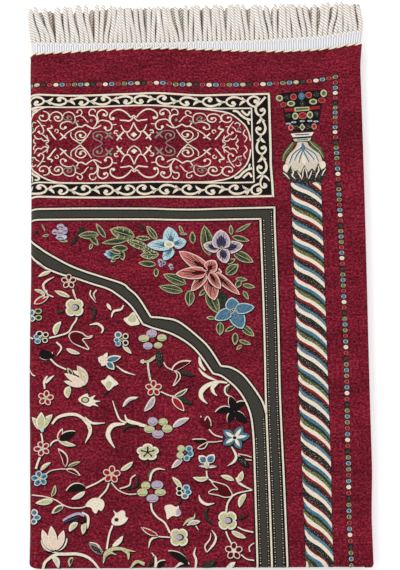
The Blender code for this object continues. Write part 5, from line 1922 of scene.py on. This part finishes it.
def twisted_strand(number, far_end, fine):
    """Rings of one strand: its places on the loom and its heights, from root to tip."""
    root_across = STRAND_PITCH * (number + 0.5) - HALF_WIDTH
    seed = 5 * far_end
    if fine:
        root = table_at(ROOTS, root_across) - ROOT_DEPTH
        tip = table_at(TIPS, root_across) + 0.9 * ramble(number, 1)
        lean = LEAN_SHARE * table_at(LEANS, root_across) + 0.05 * ramble(number, 2)
    else:
        root = TAPE_GAP + TAPE_WIDTH - 1.0
        tip = TAPE_GAP + TAPE_WIDTH + STRAND_LENGTH - 1.5 * abs(ramble(number, seed))
        lean = 0.04 * ramble(number, seed + 2)
    sides, spacing = FINE_STRAND if fine else HIDDEN_STRAND
    count = int((tip - root) / spacing) + 1
    share = np.linspace(0, 1, count)
    beyond = root + (tip - root) * share
    reach = (tip - root) * share
    bow = STRAND_BOW * np.sin(share * (2.2 + ramble(number, 3)) + number * 2.4)
    bow = bow + STRAND_DRIFT * ramble(number, 4) * share
    middle = root_across + lean * reach * smooth(share * 1.6) + bow * smooth(share * 2)
    lift = (0.7 * ramble(number, 6) + 0.4) * smooth(share * 1.4) if fine and root_across > 2 else 0 * share
    size = (0.72 + 0.28 * smooth(share * 6)) * (1 - 0.5 * smooth((share - 1 + STRAND_TIP) / STRAND_TIP))
    turn = 2 * math.pi * reach / TWIST + 3 * ramble(number, 7)
    around = np.linspace(0, 2 * math.pi, sides, endpoint=False)
    # Painted shade: crown is 0 in the grooves between the plies, which the yarn colours darker.
    crown = 0.5 + 0.5 * np.cos(PLIES * around)
    lobes = 1 - PLY_DEPTH * 2 * (1 - crown)
    angle = turn[:, None] + around
    side = STRAND_HALF_WIDTH * size[:, None] * lobes * np.cos(angle)
    out = STRAND_HALF_HEIGHT * size[:, None] * lobes * np.sin(angle) + lift[:, None]
    beyond, crown = (np.broadcast_to(values, side.shape) for values in (beyond[:, None], crown))
    return middle[:, None] + side, beyond, out, crown


def off_the_end(far_end, across, beyond, out, thickness):
    along = RUG_LENGTH + beyond if far_end else -beyond
    return fold(across, along, out, thickness)


def make_strands(name, far_end, numbers, fine, material):
    """Strands, each a closed and twisted length of its own."""
    points, faces, cloth, start = [], [], [], 0
    for number in numbers:
        across, beyond, out, crown = twisted_strand(number, far_end, fine)
        rings, sides = across.shape
        thickness = 2 * STRAND_HALF_HEIGHT
        points.append(off_the_end(far_end, across, beyond, out, thickness).reshape(-1, 3))
        cloth.append(np.stack([crown.ravel() * CROWN_SCALE, beyond.ravel() + STRAND_APART * number], -1))
        tube = tube_faces(rings, sides, start)
        faces += turned_over(tube) if far_end else tube
        start += rings * sides
    return new_piece(name, np.vstack(points), faces, material, np.vstack(cloth))


def make_tape(name, far_end, material):
    """The woven heading that holds the strands, ribbed where they run into it."""
    across = stations(-HALF_WIDTH, HALF_WIDTH, STRAND_PITCH / 8)
    roots = np.full(len(across), TAPE_GAP + TAPE_WIDTH)
    if not far_end:
        roots = np.array([table_at(ROOTS, abs(place)) + 0.4 for place in across])
    share = np.array([0.0, 0.12, 0.5, 0.85, 1.0])
    beyond = TAPE_GAP + (roots[:, None] - TAPE_GAP) * share
    # Painted shade: the crown coordinate colours the grooves between the ribs darker.
    crown = 0.5 + 0.5 * np.cos(4 * np.pi * across / STRAND_PITCH)[:, None] + 0 * share
    rib = 0.5 * crown * np.array([0.5, 1, 1, 1, 0.5]) * smooth(across / 6)[:, None]
    half = TAPE_THICKNESS / 2
    places = np.repeat(across[:, None], len(share), axis=1)
    ring = np.concatenate([half + rib, -half + 0 * rib[:, ::-1]], axis=1)
    a, b = np.hstack([places, places[:, ::-1]]), np.hstack([beyond, beyond[:, ::-1]])
    points = off_the_end(far_end, a, b, ring, TAPE_THICKNESS)
    faces = tube_faces(*a.shape)
    if far_end:
        faces = turned_over(faces)
    crown = np.hstack([crown, crown[:, ::-1]])
    cloth = np.stack([crown.ravel() * CROWN_SCALE, a.ravel()], -1)
    return new_piece(name, points.reshape(-1, 3), faces, material, cloth)


def make_stitches(name, material):
    """The overcast thread that sews the tape to the cloth, like a thin rope along the edge."""
    points, faces, cloth, start = [], [], [], 0
    around = np.linspace(0, 2 * np.pi, 6, endpoint=False)
    share = np.linspace(0, 1, 9)
    size = np.sin(np.pi * (0.06 + 0.88 * share)) ** 0.5
    for number in range(-1, STITCH_COUNT):
        start_across = STITCH_PITCH * number + 0.8 * ramble(number, 8)
        length = STITCH_LENGTH + 0.9 * ramble(number, 9)
        middle = start_across + length * share
        beyond = STITCH_SLANT * (share - 0.4) + 0.3 * ramble(number, 10)
        side = STITCH_HALF_WIDTH * size[:, None] * np.cos(around)
        out = STITCH_HALF_HEIGHT * size[:, None] * np.sin(around) + HALF_THICKNESS * 1.25
        across = np.repeat(middle[:, None], len(around), axis=1) + 0.3 * side
        points.append(fold(np.minimum(across, HALF_WIDTH), -(beyond[:, None] + side), out).reshape(-1, 3))
        faces += tube_faces(len(share), len(around), start, clockwise=True)
        # Painted shade: each stitch's thin ends, where it sinks into the cloth, take the thread's darker colours.
        cloth.append(np.stack([np.repeat(CROWN_SCALE * size, len(around)), across.ravel()], -1))
        start += across.size
    return new_piece(name, np.vstack(points), faces, material, np.vstack(cloth))


def make_fringes():
    """Strands, heading and overcast thread of the end that shows, then the far end's strands and heading."""
    # The last two colours of each yarn are painted shade for its grooves. The second cotton is a painted shaded copy
    # of the first, for the far end's strands and heading that lie beneath the folded layers.
    cotton = fringe_yarn("fringe_cotton", srgb(253, 250, 246), srgb(238, 230, 222), srgb(176, 158, 142))
    shaded = fringe_yarn("fringe_cotton_painted_shade", srgb(230, 220, 208), srgb(192, 174, 156), srgb(112, 90, 72))
    taped = fringe_yarn("fringe_tape", srgb(240, 241, 243), srgb(216, 217, 223), srgb(168, 168, 180))
    thread = fringe_yarn("fringe_thread", srgb(242, 234, 204), srgb(222, 208, 168), srgb(110, 84, 58))
    first_on_top = int((TOP_FROM + HALF_WIDTH) / STRAND_PITCH)
    pieces = [
        make_strands("strands_top", False, range(first_on_top, STRANDS_ACROSS), True, cotton),
        make_strands("strands_bottom", False, range(first_on_top), False, cotton),
        make_tape("tape_top", False, taped),
        make_stitches("stitches_top", thread),
    ]
    inner = [
        make_strands("strands_inner", True, range(STRANDS_ACROSS), False, shaded),
        make_tape("tape_inner", True, shaded),
    ]
    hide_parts("fringe_top")
    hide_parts("fringe_inner")


make_fringes()
